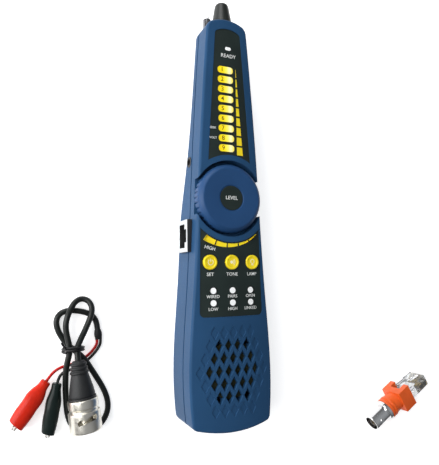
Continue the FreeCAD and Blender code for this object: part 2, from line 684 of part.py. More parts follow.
def build_dial():
    """A fluted thumbwheel on a shaft, with a round label let into its face."""
    body = new_body("sensitivity_dial")
    turned(body, [("shaft_radius", "dial_base"), ("dial_radius", "dial_base"),
                  ("dial_radius", "dial_top - dial_bevel_height"),
                  ("dial_radius - 0.35 * dial_bevel", "dial_top - 0.45 * dial_bevel_height"),
                  ("dial_radius - dial_bevel", "dial_top"),
                  ("label_radius + 0.1", "dial_top"), ("label_radius + 0.1", "dial_top - label_depth"),
                  ("0", "dial_top - label_depth"), ("0", "dial_top - 2"), ("shaft_radius", "dial_top - 2")],
           "XZ_Plane", "V_Axis")
    flute = body.newObject("PartDesign::Pocket", "dial_flute")
    flute.Profile = polygon_sketch(body, "XY_Plane", [
        ("dial_radius - flute_depth", "0"), ("dial_radius + 1", "flute_half_width * 2"),
        ("dial_radius + 1", "-flute_half_width * 2")])
    flute.Reversed = True
    flute.Length = value("flute_top")
    flute.setExpression("Length", bound("flute_top"))
    pattern = body.newObject("PartDesign::PolarPattern", "dial_flutes")
    pattern.Originals = [flute]
    pattern.Axis = ([item for item in body.Origin.OriginFeatures if item.Role == "Z_Axis"][0], [""])
    pattern.Angle = 360
    pattern.Occurrences = int(value("flute_count"))
    body.Tip = pattern
    body.setExpression("Placement.Base.y", bound("dial_place"))
    keep(body, "sensitivity_dial")
    upright_node("dial_label", [("0", "dial_top - label_depth"), ("label_radius", "dial_top - label_depth"),
                                ("label_radius", "dial_top"), ("0", "dial_top")], "0", "dial_place")
    upright_node("dial_shaft", [("0", "board_base"), ("shaft_radius", "board_base"),
                                ("shaft_radius", "dial_top - 2"), ("0", "dial_top - 2")],
                 "0", "dial_place")


def build_buttons():
    """Round caps with a flange under the front shell. The outer two are shorter, as the front is crowned."""
    for label, side in button_places():
        top = "case_height + button_proud - %d * button_spacing ^ 2 / (2 * crown_radius)" % abs(side)
        upright_node(label, [("0", "button_base"), ("button_flange_radius", "button_base"),
                             ("button_flange_radius", "button_flange_top"),
                             ("button_radius", "button_flange_top"), ("button_radius", top + " - 0.5"),
                             ("button_radius - 0.5", top), ("0", top + " + 0.1")],
                     "%d * button_spacing" % side, "button_row")


# ---- what the receiver holds inside ----

def make_board():
    """The circuit board follows the case's plan, clear of its walls, with holes for the shaft."""
    start, end, margin = value("board_start"), value("board_end"), value("board_margin")
    plan = case_form(value("wall") + margin / 2, False)
    low = value("board_base")
    slab = Part.makeBox(2 * value("half_span"), end - start, value("board_thickness"),
                        Vector(-value("half_span"), start, low))
    hole = upright_cylinder(value("shaft_radius + shaft_clearance"), 0, 40, 0, value("dial_place"))
    return slab.common(plan).cut(hole)


def build_electronics():
    shaped_node("main_board", make_board())
    upright_node("potentiometer", [("0", "board_base - pot_height"), ("pot_radius", "board_base - pot_height"),
                                   ("pot_radius", "board_base"), ("0", "board_base")], "0", "dial_place")
    switches = []
    for _, side in button_places():
        centre = "%d * button_spacing" % side
        base = block("switch_base", ("switch_width", "switch_width", "switch_height"),
                     (centre + " - switch_width / 2", "button_row - switch_width / 2",
                      "board_base + board_thickness"))
        plunger = rod("switch_plunger", "plunger_radius", "plunger_height",
                      (centre, "button_row", "board_base + board_thickness + switch_height"))
        switches.append(fused("tactile_switch", [base, plunger]))
    keep(group("tactile_switch_group", switches), "tactile_switches")
    chips = [block("level_chip", ("chip_length", "chip_width", "chip_height"),
                   ("(window_left + window_right - chip_length) / 2",
                    "window_first - %d * window_pitch - chip_width / 2" % index,
                    "board_base + board_thickness")) for index in range(int(value("window_count")))]
    chips.append(block("power_chip", ("chip_length", "chip_width", "chip_height"),
                       ("-chip_length / 2", "power_place - chip_width / 2",
                        "board_base + board_thickness")))
    keep(group("level_chip_group", chips), "level_leds")
    upright_node("speaker", [("0", "speaker_base"), ("speaker_radius * 0.6", "speaker_base"),
                             ("speaker_radius * 0.6", "speaker_base + 1.4"),
                             ("speaker_radius", "speaker_base + 2.2"), ("speaker_radius", "speaker_top"),
                             ("speaker_radius * 0.86", "speaker_top"),
                             ("speaker_radius * 0.4", "speaker_top - 1.2"), ("0", "speaker_top - 1.2")],
                 "0", "speaker_place")
    upright_node("speaker_cloth", [("0", "speaker_top + 0.1"), ("speaker_radius", "speaker_top + 0.1"),
                                   ("speaker_radius", "speaker_top + 0.1 + cloth_thickness"),
                                   ("0", "speaker_top + 0.1 + cloth_thickness")], "0", "speaker_place")


def build_battery():
    left = "-battery_width / 2"
    keep(block("battery_block", ("battery_width", "battery_length", "battery_thickness"),
               (left, "battery_start", "battery_base")), "battery")
    end = "battery_start + battery_length"
    middle = "battery_base + battery_thickness / 2"
    studs = [rod("battery_stud", radius, "stud_length", (across, end, middle), Vector(0, 1, 0))
             for radius, across in (("2.8", "-6.4"), ("3.6", "6.4"))]
    keep(group("battery_studs", studs), "battery_terminals")
    keep(block("snap_block", ("battery_width - 2", "snap_thickness", "11"),
               (left + " + 1", end + " + stud_length", middle + " - 5.5")), "battery_snap")


def build_socket():
    """The network socket: a flanged metal case with its mouth to -X and a notch for the latch above."""
    outer = -socket_front()
    flange = block("socket_flange_block", ("socket_flange + 1.6", "socket_width", "socket_height"),
                   ("%.3f" % -outer, "socket_start", "socket_base"))
    gap = "socket_body_gap"
    case = block("socket_case", ("%.3f + socket_inner" % outer, "socket_width - 2 * %s" % gap,
                                 "socket_height - 2 * %s" % gap),
                 ("%.3f" % -outer, "socket_start + " + gap, "socket_base + " + gap))
    mouth_start = "socket_start + (socket_width - socket_mouth_width) / 2"
    mouth = block("socket_mouth", ("socket_depth + 1", "socket_mouth_width", "socket_mouth_height"),
                  ("%.3f - 1" % -outer, mouth_start, "socket_mouth_base"))
    notch = block("socket_notch", ("socket_depth + 1", "notch_width", "notch_height + 0.1"),
                  ("%.3f - 1" % -outer, "socket_start + (socket_width - notch_width) / 2",
                   "socket_mouth_base + socket_mouth_height - 0.1"))
    keep(cut("socket_cut", fused("socket_body", [flange, case]), fused("socket_hollow", [mouth, notch])),
         "rj45_jack")
    contacts = [block("socket_contact", ("socket_depth - 4.5", "0.45", "0.5"),
                      ("%.3f + 4.2" % -outer,
                       "socket_start + socket_width / 2 + %.2f * contact_pitch - 0.225" % (index - 3.5),
                       "socket_mouth_base")) for index in range(8)]
    keep(group("socket_contact_group", contacts), "rj45_contacts")


def build_ear_socket():
    frame = Placement(Vector(-value("neck_half_width") - 0.2, value("ear_place"), value("ear_height")),
                      Rotation())
    turned_node("earphone_jack", [("0", "ear_bore"), ("0", "ear_radius"), ("ear_collar", "ear_radius"),
                                  ("ear_collar", "ear_body_radius"), ("ear_length", "ear_body_radius"),
                                  ("ear_length", "0"), ("ear_length - 1", "0"),
                                  ("ear_length - 1", "ear_bore")], frame)


def build_probe_tip():
    """The probe tip, its pickup rod and coil, and the small torch beside it, all along +Y."""
    along_y = Rotation(Vector(0, 0, 1), 90)
    frame = Placement(Vector(value("tip_side"), 0, value("tip_height")), along_y)
    turned_node("probe_tip", [("tip_flange_start", "rod_radius + 0.1"), ("tip_flange_start", "tip_flange"),
                              ("tip_flange_end", "tip_flange"), ("tip_flange_end", "tip_radius"),
                              ("tip_cone_start", "tip_radius"), ("tip_end - 0.9", "tip_end_radius + 0.2"),
                              ("tip_end", "tip_end_radius - 0.7"), ("tip_end", "0"),
                              ("rod_end + 0.2", "0"), ("rod_end + 0.2", "rod_radius + 0.1")], frame)
    turned_node("pickup_rod", [("rod_start", "0"), ("rod_start", "rod_radius"), ("rod_end", "rod_radius"),
                               ("rod_end", "0")], frame)
    turned_node("pickup_coil", [("rod_start + 0.5", "rod_radius"), ("rod_start + 0.5", "coil_radius"),
                                ("coil_end", "coil_radius"), ("coil_end", "rod_radius")], frame)
    torch = Placement(Vector(value("torch_side"), 0, value("torch_height")), along_y)
    turned_node("torch_led", [("torch_start", "0"), ("torch_start", "torch_radius"),
                              ("torch_end - 1.2", "torch_radius"), ("torch_end - 0.3", "torch_radius * 0.7"),
                              ("torch_end", "0")], torch)
    turned_node("torch_bezel", [("torch_start + 2", "torch_radius"), ("torch_start + 2", "torch_bezel_radius"),
                                ("torch_end - 2.2", "torch_bezel_radius"),
                                ("torch_end - 2.2", "torch_radius")], torch)


# ---- the adapter ----

def adapter_frame():
    """The adapter's own frame: its axis lies level and points from the coax mouth to the plug's nose.
    The adapter rests on a side of its block, with the plug's latch facing sideways."""
    return Placement(Vector(103.6, -69.3, value("adapter_axis_height")), Rotation(30.3, 0, -90))


def build_adapter():
    frame = adapter_frame()
    barrel = new_body("jack_barrel")
    turned(barrel, [("0", "jack_bore"), ("0", "jack_radius - 0.25"), ("0.25", "jack_radius"),
                    ("jack_length", "jack_radius"), ("jack_length", "jack_bore - 2"),
                    ("jack_bore_depth", "jack_bore - 2"), ("jack_bore_depth", "jack_bore")])
    barrel.Placement = frame
    lugs = [rod("jack_lug", "lug_radius", "lug_reach - jack_bore - 0.2",
                ("lug_place", "%d * (jack_bore + 0.2)" % side, "0"), Vector(0, side, 0), frame)
            for side in (-1, 1)]
    keep(fused("jack_barrel_with_lugs", [barrel] + lugs), "bnc_jack_barrel")
    turned_node("bnc_jack_flange", [("flange_start", "jack_radius"), ("flange_start", "flange_radius - 0.4"),
                                    ("flange_start + 0.4", "flange_radius"),
                                    ("flange_end - 0.4", "flange_radius"),
                                    ("flange_end", "flange_radius - 0.4"), ("flange_end", "jack_radius")],
                frame)
    turned_node("bnc_jack_insulator", [("post_start", "jack_pin_radius"), ("post_start", "post_radius"),
                                       ("jack_bore_depth - 2", "post_radius"),
                                       ("jack_bore_depth - 2", "jack_bore"), ("jack_bore_depth", "jack_bore"),
                                       ("jack_bore_depth", "jack_pin_radius")], frame)
    turned_node("bnc_jack_contact", [("post_start + 0.3", "jack_pin_bore"),
                                     ("post_start + 0.3", "jack_pin_radius"),
                                     ("jack_length", "jack_pin_radius"), ("jack_length", "0"),
                                     ("jack_bore_depth", "0"), ("jack_bore_depth", "jack_pin_bore")], frame)
    grip = new_body("adapter_grip")
    turned(grip, [("flange_end", "jack_radius"), ("flange_end", "rib_radius"), ("15", "rib_radius"),
                  ("15.3", "rib_groove"), ("15.9", "rib_groove"), ("16.2", "rib_radius"),
                  ("17.4", "rib_radius"), ("17.8", "neck_radius"), ("block_start + 1", "neck_radius - 0.2"),
                  ("block_start + 1", "0"), ("jack_length + 0.2", "0"), ("jack_length + 0.2", "jack_radius")])
    grip.Placement = frame
    body = block("adapter_block", ("block_end - block_start", "2 * block_half_width", "2 * block_half_height"),
                 ("block_start", "-block_half_width", "-block_half_height"), frame)
    pocket = block("adapter_pocket", ("10", "2 * plug_half_width", "plug_top - plug_base"),
                   ("plug_start", "-plug_half_width", "plug_base"), frame)
    notch = block("adapter_notch", ("10", "2 * notch_half_width", "10"),
                  ("plug_start + 0.6", "-notch_half_width", "notch_floor"), frame)
    keep(cut("adapter_cut", fused("adapter_solid", [grip, body]), fused("adapter_hollow", [pocket, notch])),
         "adapter_body")
    build_modular_plug(frame)


def build_modular_plug(frame):
    base, proud = "plug_base - contact_proud", "contact_height + contact_proud"

    def blades(name, extra):
        return [block(name, ("contact_length", "contact_thickness", proud + extra),
                      ("contact_start", "%.2f * contact_pitch - contact_thickness / 2" % (index - 3.5), base),
                      frame) for index in range(8)]
    shell = block("plug_shell", ("plug_end - plug_start", "2 * plug_half_width", "plug_top - plug_base"),
                  ("plug_start", "-plug_half_width", "plug_base"), frame)
    keep(cut("plug_cut", shell, fused("plug_slots", blades("plug_slot", ""))), "rj45_plug")
    keep(group("plug_contact_group", blades("plug_contact", "")), "plug_contacts")
    latch = new_body("plug_latch")
    foot, tail = "plug_top + latch_gap", "plug_top + latch_gap + latch_rise"
    middle = "latch_tail + (latch_root - latch_tail) * 0.55"
    padded(latch, "XZ_Plane", [("latch_root", foot), ("latch_root", foot + " + latch_thickness"),
                               (middle, foot + " + latch_rise * 0.45 + latch_thickness"),
                               (middle, foot + " + latch_rise * 0.45")], "catch_half_width")
    padded(latch, "XZ_Plane", [(middle + " + 1", foot + " + latch_rise * 0.4"),
                               (middle + " + 1", foot + " + latch_rise * 0.4 + latch_thickness"),
                               ("latch_tail", tail + " + latch_thickness * 0.6"), ("latch_tail", tail)],
           "lever_half_width")
    latch.Placement = frame
    keep(latch, "plug_latch")


# ---- the coax plug ----

def plug_frame():
    """The coax plug's own frame: its axis runs from the cable towards the mouth and rises slightly."""
    return Placement(Vector(*COAX_ROUTE[0]), Rotation(-83.1, -3.1, 0))


def boot_profile():
    """A tapered sleeve with three ribs near the cable."""
    def radius_at(place):
        return "boot_rear_radius + (boot_front_radius - boot_rear_radius) * %.2f / boot_length" % place
    corners = [("0", "0"), ("0", "boot_rear_radius")]
    for rib in range(3):
        start = 0.9 + 1.9 * rib
        corners += [("%.2f" % start, radius_at(start)), ("%.2f" % (start + 0.25), radius_at(start) + " + boot_rib"),
                    ("%.2f" % (start + 1.0), radius_at(start + 1) + " + boot_rib"),
                    ("%.2f" % (start + 1.25), radius_at(start + 1.25))]
    corners += [("boot_length * 0.75", "boot_front_radius - 0.5"), ("boot_length", "boot_front_radius"),
                ("boot_length", "boot_cavity"), ("boot_cavity_start", "boot_cavity"),
                ("boot_cavity_start", "0")]
    return corners


def build_coupling_nut(frame):
    """The bayonet collar that turns on the plug: two inner channels lead to two curved slots."""
    body = new_body("coupling_nut")
    turned(body, [("nut_start", "nut_neck_bore"), ("nut_start", "nut_rear_radius"),
                  ("nut_start + 4", "nut_rear_radius"), ("nut_start + 4.3", "nut_groove_radius"),
                  ("nut_start + 5.3", "nut_groove_radius"), ("nut_start + 5.6", "nut_radius"),
                  ("nut_end - 0.5", "nut_radius"), ("nut_end", "nut_radius - 0.5"), ("nut_end", "nut_bore"),
                  ("collar_end + 0.6", "nut_bore"), ("collar_end + 0.3", "nut_neck_bore")])
    slots = []
    for name, start, end, top, angle in (("slot", "slot_start", "slot_start + slot_width", "nut_radius + 1",
                                          "slot_angle"),
                                         ("channel", "slot_start", "nut_end + 1", "nut_bore + 1", "26")):
        groove = body.newObject("PartDesign::Groove", "nut_" + name)
        sketch = polygon_sketch(body, "XY_Plane", [(start, "nut_bore - 0.5"), (end, "nut_bore - 0.5"),
                                                   (end, top), (start, top)])
        groove.Profile = sketch
        groove.ReferenceAxis = (sketch, ["H_Axis"])
        groove.Angle = value(angle)
        slots.append(groove)
    pattern = body.newObject("PartDesign::PolarPattern", "nut_slots")
    pattern.Originals = slots
    pattern.Axis = ([item for item in body.Origin.OriginFeatures if item.Role == "X_Axis"][0], [""])
    pattern.Angle = 360
    pattern.Occurrences = 2
    body.Tip = pattern
    body.Placement = frame
    keep(body, "coupling_nut")


def build_coax_plug():
    frame = plug_frame()
    turned_node("strain_relief_boot", boot_profile(), frame)
    turned_node("bnc_plug_body", [("boot_cavity_start", "0"), ("boot_cavity_start", "boot_cavity"),
                                  ("boot_length", "boot_cavity"), ("boot_length", "collar_radius"),
                                  ("collar_end", "collar_radius"), ("collar_end", "shield_radius"),
                                  ("shield_end", "shield_radius"), ("shield_end", "shield_bore"),
                                  ("plug_insulator_start", "shield_bore"), ("plug_insulator_start", "0")],
                frame)
    turned_node("bnc_plug_insulator", [("plug_insulator_start", "plug_pin_radius"),
                                       ("plug_insulator_start", "shield_bore"),
                                       ("plug_insulator_end", "shield_bore"),
                                       ("plug_insulator_end", "plug_pin_radius")], frame)
    turned_node("bnc_plug_pin", [("plug_insulator_start", "0"), ("plug_insulator_start", "plug_pin_radius"),
                                 ("shield_end - 0.6", "plug_pin_radius"),
                                 ("shield_end", "plug_pin_radius * 0.5"), ("shield_end", "0")], frame)
    build_coupling_nut(frame)


# ---- cables ----

def tube_path(points):
    """Straight runs joined by tangent arcs, each arc as large as its two runs allow."""
    places = [Vector(*point) for point in points]
    edges, radii = [], []
    start = places[0]
    for before, corner, after in zip(places, places[1:], places[2:]):
        back, ahead = before - corner, after - corner
        turn = math.pi - back.getAngle(ahead)
        reach = 0.45 * min(back.Length, ahead.Length)
        radius = reach / math.tan(turn / 2)
        back.normalize()
        ahead.normalize()
        first, last = corner + back * reach, corner + ahead * reach
        middle_way = (back + ahead).normalize()
        middle = corner + middle_way * (math.hypot(radius, reach) - radius)
        edges += [Part.LineSegment(start, first).toShape(), Part.Arc(first, middle, last).toShape()]
        radii.append(radius)
        start = last
    edges.append(Part.LineSegment(start, places[-1]).toShape())
    return Part.Wire(edges), radii


def tube(label, points, diameter):
    path, radii = tube_path(points)
    heading = Vector(*points[1]) - Vector(*points[0])
    section = Part.Wire([Part.Circle(Vector(*points[0]), heading, diameter / 2).toShape()])
    solid = path.makePipeShell([section], True, False)
    area = math.pi * diameter ** 2 / 4
    print("%s: length %.1f mm, tightest arc %.1f mm, volume %.1f against %.1f mm3"
          % (label, path.Length, min(radii), solid.Volume, area * path.Length))
    return solid


def build_cables():
    coax, wire = value("coax_diameter"), value("wire_diameter")
    shaped_node("coax_cable", tube("coax_cable", COAX_ROUTE, coax))
    shaped_node("red_wire", tube("red_wire", RED_ROUTE, wire))
    shaped_node("black_wire", tube("black_wire", BLACK_ROUTE, wire))
    start = Vector(*COAX_ROUTE[-1])
    finish = (Vector(*RED_ROUTE[0]) + Vector(*BLACK_ROUTE[0])) * 0.5
    along = finish - start
    shaped_node("heat_shrink", Part.makeCylinder(value("shrink_radius"), along.Length, start, along))
    ring_radius, tie = value("tie_ring_radius"), value("tie_radius")
    centre = Vector(-73.1, -11.5, ring_radius + tie + 0.05)
    ring = Part.makeTorus(ring_radius, tie, centre, Vector(0, 1, 0))
    knot = Vector(-ring_radius * 0.7, 0, ring_radius * 0.7)
    tail = Part.makeCylinder(tie * 0.9, 5, centre + knot, Vector(-0.5, 0.75, 0.25))
    shaped_node("twist_tie", ring.fuse(tail))


# ---- the crocodile clips ----

def clip_frame(end, towards):
    """A clip's own frame: from the wire to the nose along +X, with its pivot pin upright."""
    heading = math.degrees(math.atan2(towards[1], towards[0]))
    unit = Vector(towards[0], towards[1], 0).normalize()
    rear = Vector(end[0], end[1], 0) - unit * value("crimp_start")
    return Placement(Vector(rear.x, rear.y, value("clip_axis_height")), Rotation(heading, 0, 0))


def jaw_outer_edge():
    return [("8", 2.35), ("12", 2.4), ("jaw_length - 6", 1.9), ("jaw_length", 0.9)]


def jaw_corners(side, with_crimp):
    """One jaw seen along the pivot: handle, lobe round the pin, and a row of teeth."""
    crimp = value("crimp_half")
    corners = [("crimp_start", crimp), ("5.4", crimp)] if with_crimp else []
    corners += jaw_outer_edge()
    corners.append(("jaw_length", 0.1))
    for tooth in range(int(value("tooth_count"))):
        corners.append(("jaw_length - 0.5 - %.2f * tooth_pitch" % (tooth + 0.5), 0.1 + value("tooth_depth")))
        corners.append(("jaw_length - 0.5 - %.2f * tooth_pitch" % (tooth + 1), 0.1))
    corners += [("pivot_place + 2", 0.7), ("pivot_place + 1", -1.1), ("pivot_place - 1", -1.1),
                ("pivot_place - 2", 0.9), ("8", 1.7)]
    if with_crimp:
        corners += [("6.4", -crimp), ("crimp_start", -crimp)]
    return [(across, "%.3f" % (side * up)) for across, up in corners]


def build_jaw(label, side, half_width, pin_gap, with_crimp, frame):
    """A channel of folded sheet with a pin hole through both of its cheeks."""
    body = new_body(label)
    padded(body, "XY_Plane", jaw_corners(side, with_crimp), half_width)
    sheet_edge = [(across, "%.3f" % (side * (up - value("jaw_sheet"))))
                  for across, up in jaw_outer_edge()]
    hollow = [("7", sheet_edge[0][1])] + sheet_edge[1:-1]
    hollow += [("jaw_length + 1", "%.3f" % (side * 0.4)), ("jaw_length + 1", "%.3f" % (side * -4)),
               ("7", "%.3f" % (side * -4))]
    pocketed(body, "XY_Plane", hollow, half_width + " - jaw_sheet")
    document.recompute()
    hole = body.newObject("PartDesign::Pocket", label + "_hole")
    sketch = body.newObject("Sketcher::SketchObject", label + "_hole_sketch")
    sketch.AttachmentSupport = (origin_plane(body, "XY_Plane"), [""])
    sketch.MapMode = "FlatFace"
    radius = value("pivot_radius") + pin_gap
    sketch.addGeometry(Part.Circle(Vector(value("pivot_place"), 0, 0), Vector(0, 0, 1), radius), False)
    sketch.addConstraint(Sketcher.Constraint("PointOnObject", 0, 3, -1))
    place = sketch.addConstraint(Sketcher.Constraint("DistanceX", -1, 1, 0, 3, value("pivot_place")))
    sketch.setExpression("Constraints[%d]" % place, bound("pivot_place"))
    size = sketch.addConstraint(Sketcher.Constraint("Radius", 0, radius))
    sketch.setExpression("Constraints[%d]" % size, bound("pivot_radius + %.3f" % pin_gap))
    hole.Profile = sketch
    hole.SideType = "Symmetric"
    hole.Length = 4 * value("outer_jaw_half_width")
    body.Placement = frame
    return keep(body, label)


def oval(place, half_tall, half_wide):
    """An oval across the clip's axis."""
    centre = Vector(place, 0, 0)
    if half_tall > half_wide:
        ellipse = Part.Ellipse(centre + Vector(0, half_tall, 0), centre + Vector(0, 0, half_wide), centre)
        return Part.Wire([ellipse.toShape()])
    return Part.Wire([Part.Circle(centre, Vector(1, 0, 0), half_tall).toShape()])


def make_sleeve():
    """A soft insulating sleeve: a narrow neck, a wide middle and an open nose."""
    sections = [(0, 2.1, 2.05), (3, 2.4, 2.3), (7, 3.75, 2.9), (11, 4.3, 3.2), (16.5, 4.1, 3.05),
                (22.2, 3.55, 2.8)]
    wall = value("sleeve_wall")
    outer = Part.makeLoft([oval(*section) for section in sections], True, False)
    inner_sections = [(place, tall - wall, wide - wall) for place, tall, wide in sections]
    inner_sections[0] = (1.2, 2.1 - wall, 2.05 - wall)
    inner_sections[-1] = (23.2, 3.55 - wall, 2.8 - wall)
    inner = Part.makeLoft([oval(*section) for section in inner_sections], True, False)
    bore = Part.makeCylinder(value("wire_diameter") / 2 + 0.05, 4, Vector(-1, 0, 0), Vector(1, 0, 0))
    return outer.cut(inner).cut(bore)


def build_clip(colour, frame):
    build_jaw(colour + "_clip_fixed_jaw", -1, "outer_jaw_half_width", 0.0, True, frame)
    build_jaw(colour + "_clip_moving_jaw", 1, "inner_jaw_half_width", 0.05, False, frame)
    keep(rod(colour + "_pin", "pivot_radius", "2 * outer_jaw_half_width + 0.3",
             ("pivot_place", "0", "-outer_jaw_half_width - 0.15"), frame=frame), colour + "_clip_pin")
    coil = rod(colour + "_coil", "pivot_radius + 0.55", "1.3", ("pivot_place", "0", "-0.65"), frame=frame)
    eye = rod(colour + "_eye", "pivot_radius + 0.1", "2", ("pivot_place", "0", "-1"), frame=frame)
    keep(cut(colour + "_spring", coil, eye), colour + "_clip_spring")
    shaped_node(colour + "_clip_sleeve", make_sleeve(), frame)


# ---- build, test and write ----

def check_and_write():
    document.recompute()
    for item in document.Objects:
        if "Invalid" in item.State or "Error" in item.State:
            raise RuntimeError("%s failed: %s" % (item.Label, item.State))
    os.makedirs("parts", exist_ok=True)
    for item in nodes:
        shape = item.Shape
        if shape.isNull() or not shape.isValid() or not shape.Solids:
            raise RuntimeError("%s has no valid shape" % item.Label)
        shape.exportStep("parts/%s.step" % item.Label)
        print("%-26s %2d solids  %9.1f mm3" % (item.Label, len(shape.Solids), shape.Volume))
    print("%d nodes" % len(nodes))


fill_sheet()
build_case()
build_lamps()
build_dial()
build_buttons()
build_electronics()
build_battery()
build_socket()
build_ear_socket()
build_probe_tip()
build_adapter()
build_coax_plug()
build_cables()
build_clip("red", clip_frame(RED_ROUTE[-1], (-0.576, -0.817)))
build_clip("black", clip_frame(BLACK_ROUTE[-1], (-0.165, -0.986)))
check_and_write()
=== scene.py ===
import bmesh
import bpy
import json
import math
from mathutils import Matrix, Vector

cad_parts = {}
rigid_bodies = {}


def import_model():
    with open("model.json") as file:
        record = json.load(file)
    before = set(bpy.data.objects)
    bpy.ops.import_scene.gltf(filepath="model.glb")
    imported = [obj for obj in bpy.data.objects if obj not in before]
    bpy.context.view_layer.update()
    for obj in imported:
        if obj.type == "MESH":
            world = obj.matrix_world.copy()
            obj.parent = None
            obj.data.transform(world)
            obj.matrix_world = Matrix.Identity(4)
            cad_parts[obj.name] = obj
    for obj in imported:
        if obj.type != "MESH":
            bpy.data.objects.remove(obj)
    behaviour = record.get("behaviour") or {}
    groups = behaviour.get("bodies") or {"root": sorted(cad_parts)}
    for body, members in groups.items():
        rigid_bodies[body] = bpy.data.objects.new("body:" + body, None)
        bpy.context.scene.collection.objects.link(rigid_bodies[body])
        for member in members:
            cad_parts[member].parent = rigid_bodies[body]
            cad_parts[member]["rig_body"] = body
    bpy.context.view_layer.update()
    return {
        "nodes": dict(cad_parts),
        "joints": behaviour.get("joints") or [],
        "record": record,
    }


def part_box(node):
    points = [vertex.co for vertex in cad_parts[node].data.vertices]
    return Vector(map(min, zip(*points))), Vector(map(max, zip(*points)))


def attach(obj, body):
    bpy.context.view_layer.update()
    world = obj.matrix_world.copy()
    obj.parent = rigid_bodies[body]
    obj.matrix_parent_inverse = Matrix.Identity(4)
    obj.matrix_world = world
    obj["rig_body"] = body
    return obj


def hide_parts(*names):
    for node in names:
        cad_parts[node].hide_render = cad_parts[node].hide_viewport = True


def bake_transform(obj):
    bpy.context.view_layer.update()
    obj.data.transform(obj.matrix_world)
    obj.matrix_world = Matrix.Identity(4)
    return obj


MM = 0.001
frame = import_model()
scene = bpy.context.scene
nodes = frame["nodes"]
joints = {joint["name"]: joint for joint in frame["joints"]}
mounts = {mount["name"]: mount for mount in frame["record"]["mounts"]}


def linked(name, data):
    """A new object in the scene."""
    piece = bpy.data.objects.new(name, data)
    scene.collection.objects.link(piece)
    return piece


# ---- camera ----

CAMERA_PLACE = (-0.10397, 0.02218, 0.23975)
CAMERA_RIGHT = (0.9089, -0.0169, 0.4167)
CAMERA_AHEAD = (0.4164, 0.0922, -0.9045)
CAMERA_LENS = 36.4


def make_camera():
    """The main view: from above the tail's left, looking down and to the right."""
    data = bpy.data.cameras.new("camera")
    data.lens = CAMERA_LENS
    data.clip_start = 0.01
    camera = linked("camera", data)
    right = Vector(CAMERA_RIGHT).normalized()
    ahead = Vector(CAMERA_AHEAD).normalized()
    up = right.cross(ahead)
    turn = Matrix((right, up, -ahead)).transposed().to_4x4()
    camera.matrix_world = Matrix.Translation(Vector(CAMERA_PLACE)) @ turn
    scene.camera = camera


make_camera()


# ---- materials ----

GRAIN_DEPTH = 0.0002


def new_material(name, color, roughness, metallic=0.0, **settings):
    """A principled material. Settings are the shader's own sockets by name, with _ for a space."""
    material = bpy.data.materials.new(name)
    material.use_nodes = True
    shader = material.node_tree.nodes["Principled BSDF"]
    shader.inputs["Base Color"].default_value = (*color, 1)
    shader.inputs["Roughness"].default_value = roughness
    shader.inputs["Metallic"].default_value = metallic
    for key, number in settings.items():
        shader.inputs[key.replace("_", " ")].default_value = number
    return material


def noise(tree, coordinates, scale, detail=3.0):
    """A noise that stays with the piece."""
    node = tree.nodes.new("ShaderNodeTexNoise")
    node.inputs["Scale"].default_value = scale
    node.inputs["Detail"].default_value = detail
    tree.links.new(coordinates.outputs["Object"], node.inputs["Vector"])
    return node


def ramp(tree, source, stops):
    """A colour ramp over stops of (place, colour)."""
    node = tree.nodes.new("ShaderNodeValToRGB")
    while len(node.color_ramp.elements) < len(stops):
        node.color_ramp.elements.new(0.5)
    for element, (place, color) in zip(node.color_ramp.elements, stops):
        element.position = place
        element.color = (*color, 1)
    tree.links.new(source, node.inputs["Fac"])
    return node


def shade(color, factor):
    return tuple(min(1.0, part * factor) for part in color)


def textured(name, color, roughness, grain=2500, bump=0.02, mottle=0.08, scatter=0.06, patches=60,
             metallic=0.0, **settings):
    """A material with a fine surface grain, uneven gloss and slightly uneven colour."""
    material = new_material(name, color, roughness, metallic, **settings)
    tree = material.node_tree
    shader = tree.nodes["Principled BSDF"]
    coordinates = tree.nodes.new("ShaderNodeTexCoord")
    broad = noise(tree, coordinates, patches)
    colors = ramp(tree, broad.outputs["Fac"],
                  [(0.3, shade(color, 1 - mottle)), (0.7, shade(color, 1 + mottle))])
    tree.links.new(colors.outputs["Color"], shader.inputs["Base Color"])
    fine = noise(tree, coordinates, grain, 4.0)
    low, high = max(0.02, roughness - scatter), min(1.0, roughness + scatter)
    gloss = ramp(tree, fine.outputs["Fac"], [(0.25, (low,) * 3), (0.75, (high,) * 3)])
    tree.links.new(gloss.outputs["Color"], shader.inputs["Roughness"])
    relief = tree.nodes.new("ShaderNodeBump")
    relief.inputs["Strength"].default_value = bump
    relief.inputs["Distance"].default_value = GRAIN_DEPTH
    tree.links.new(fine.outputs["Fac"], relief.inputs["Height"])
    tree.links.new(relief.outputs["Normal"], shader.inputs["Normal"])
    return material


def along_x(name, stops, roughness, **settings):
    """A material whose colour changes along X, from stops of (millimetres, colour), and which glows in that
    colour: painted light.
    """
    first, last = stops[0][0], stops[-1][0]
    material = new_material(name, stops[0][1], roughness, **settings)
    tree = material.node_tree
    coordinates = tree.nodes.new("ShaderNodeTexCoord")
    split = tree.nodes.new("ShaderNodeSeparateXYZ")
    tree.links.new(coordinates.outputs["Object"], split.inputs["Vector"])
    reach = tree.nodes.new("ShaderNodeMapRange")
    reach.inputs["From Min"].default_value = first * MM
    reach.inputs["From Max"].default_value = last * MM
    tree.links.new(split.outputs["X"], reach.inputs["Value"])
    colors = ramp(tree, reach.outputs["Result"],
                  [((place - first) / (last - first), color) for place, color in stops])
    shader = tree.nodes["Principled BSDF"]
    tree.links.new(colors.outputs["Color"], shader.inputs["Base Color"])
    tree.links.new(colors.outputs["Color"], shader.inputs["Emission Color"])
    return material


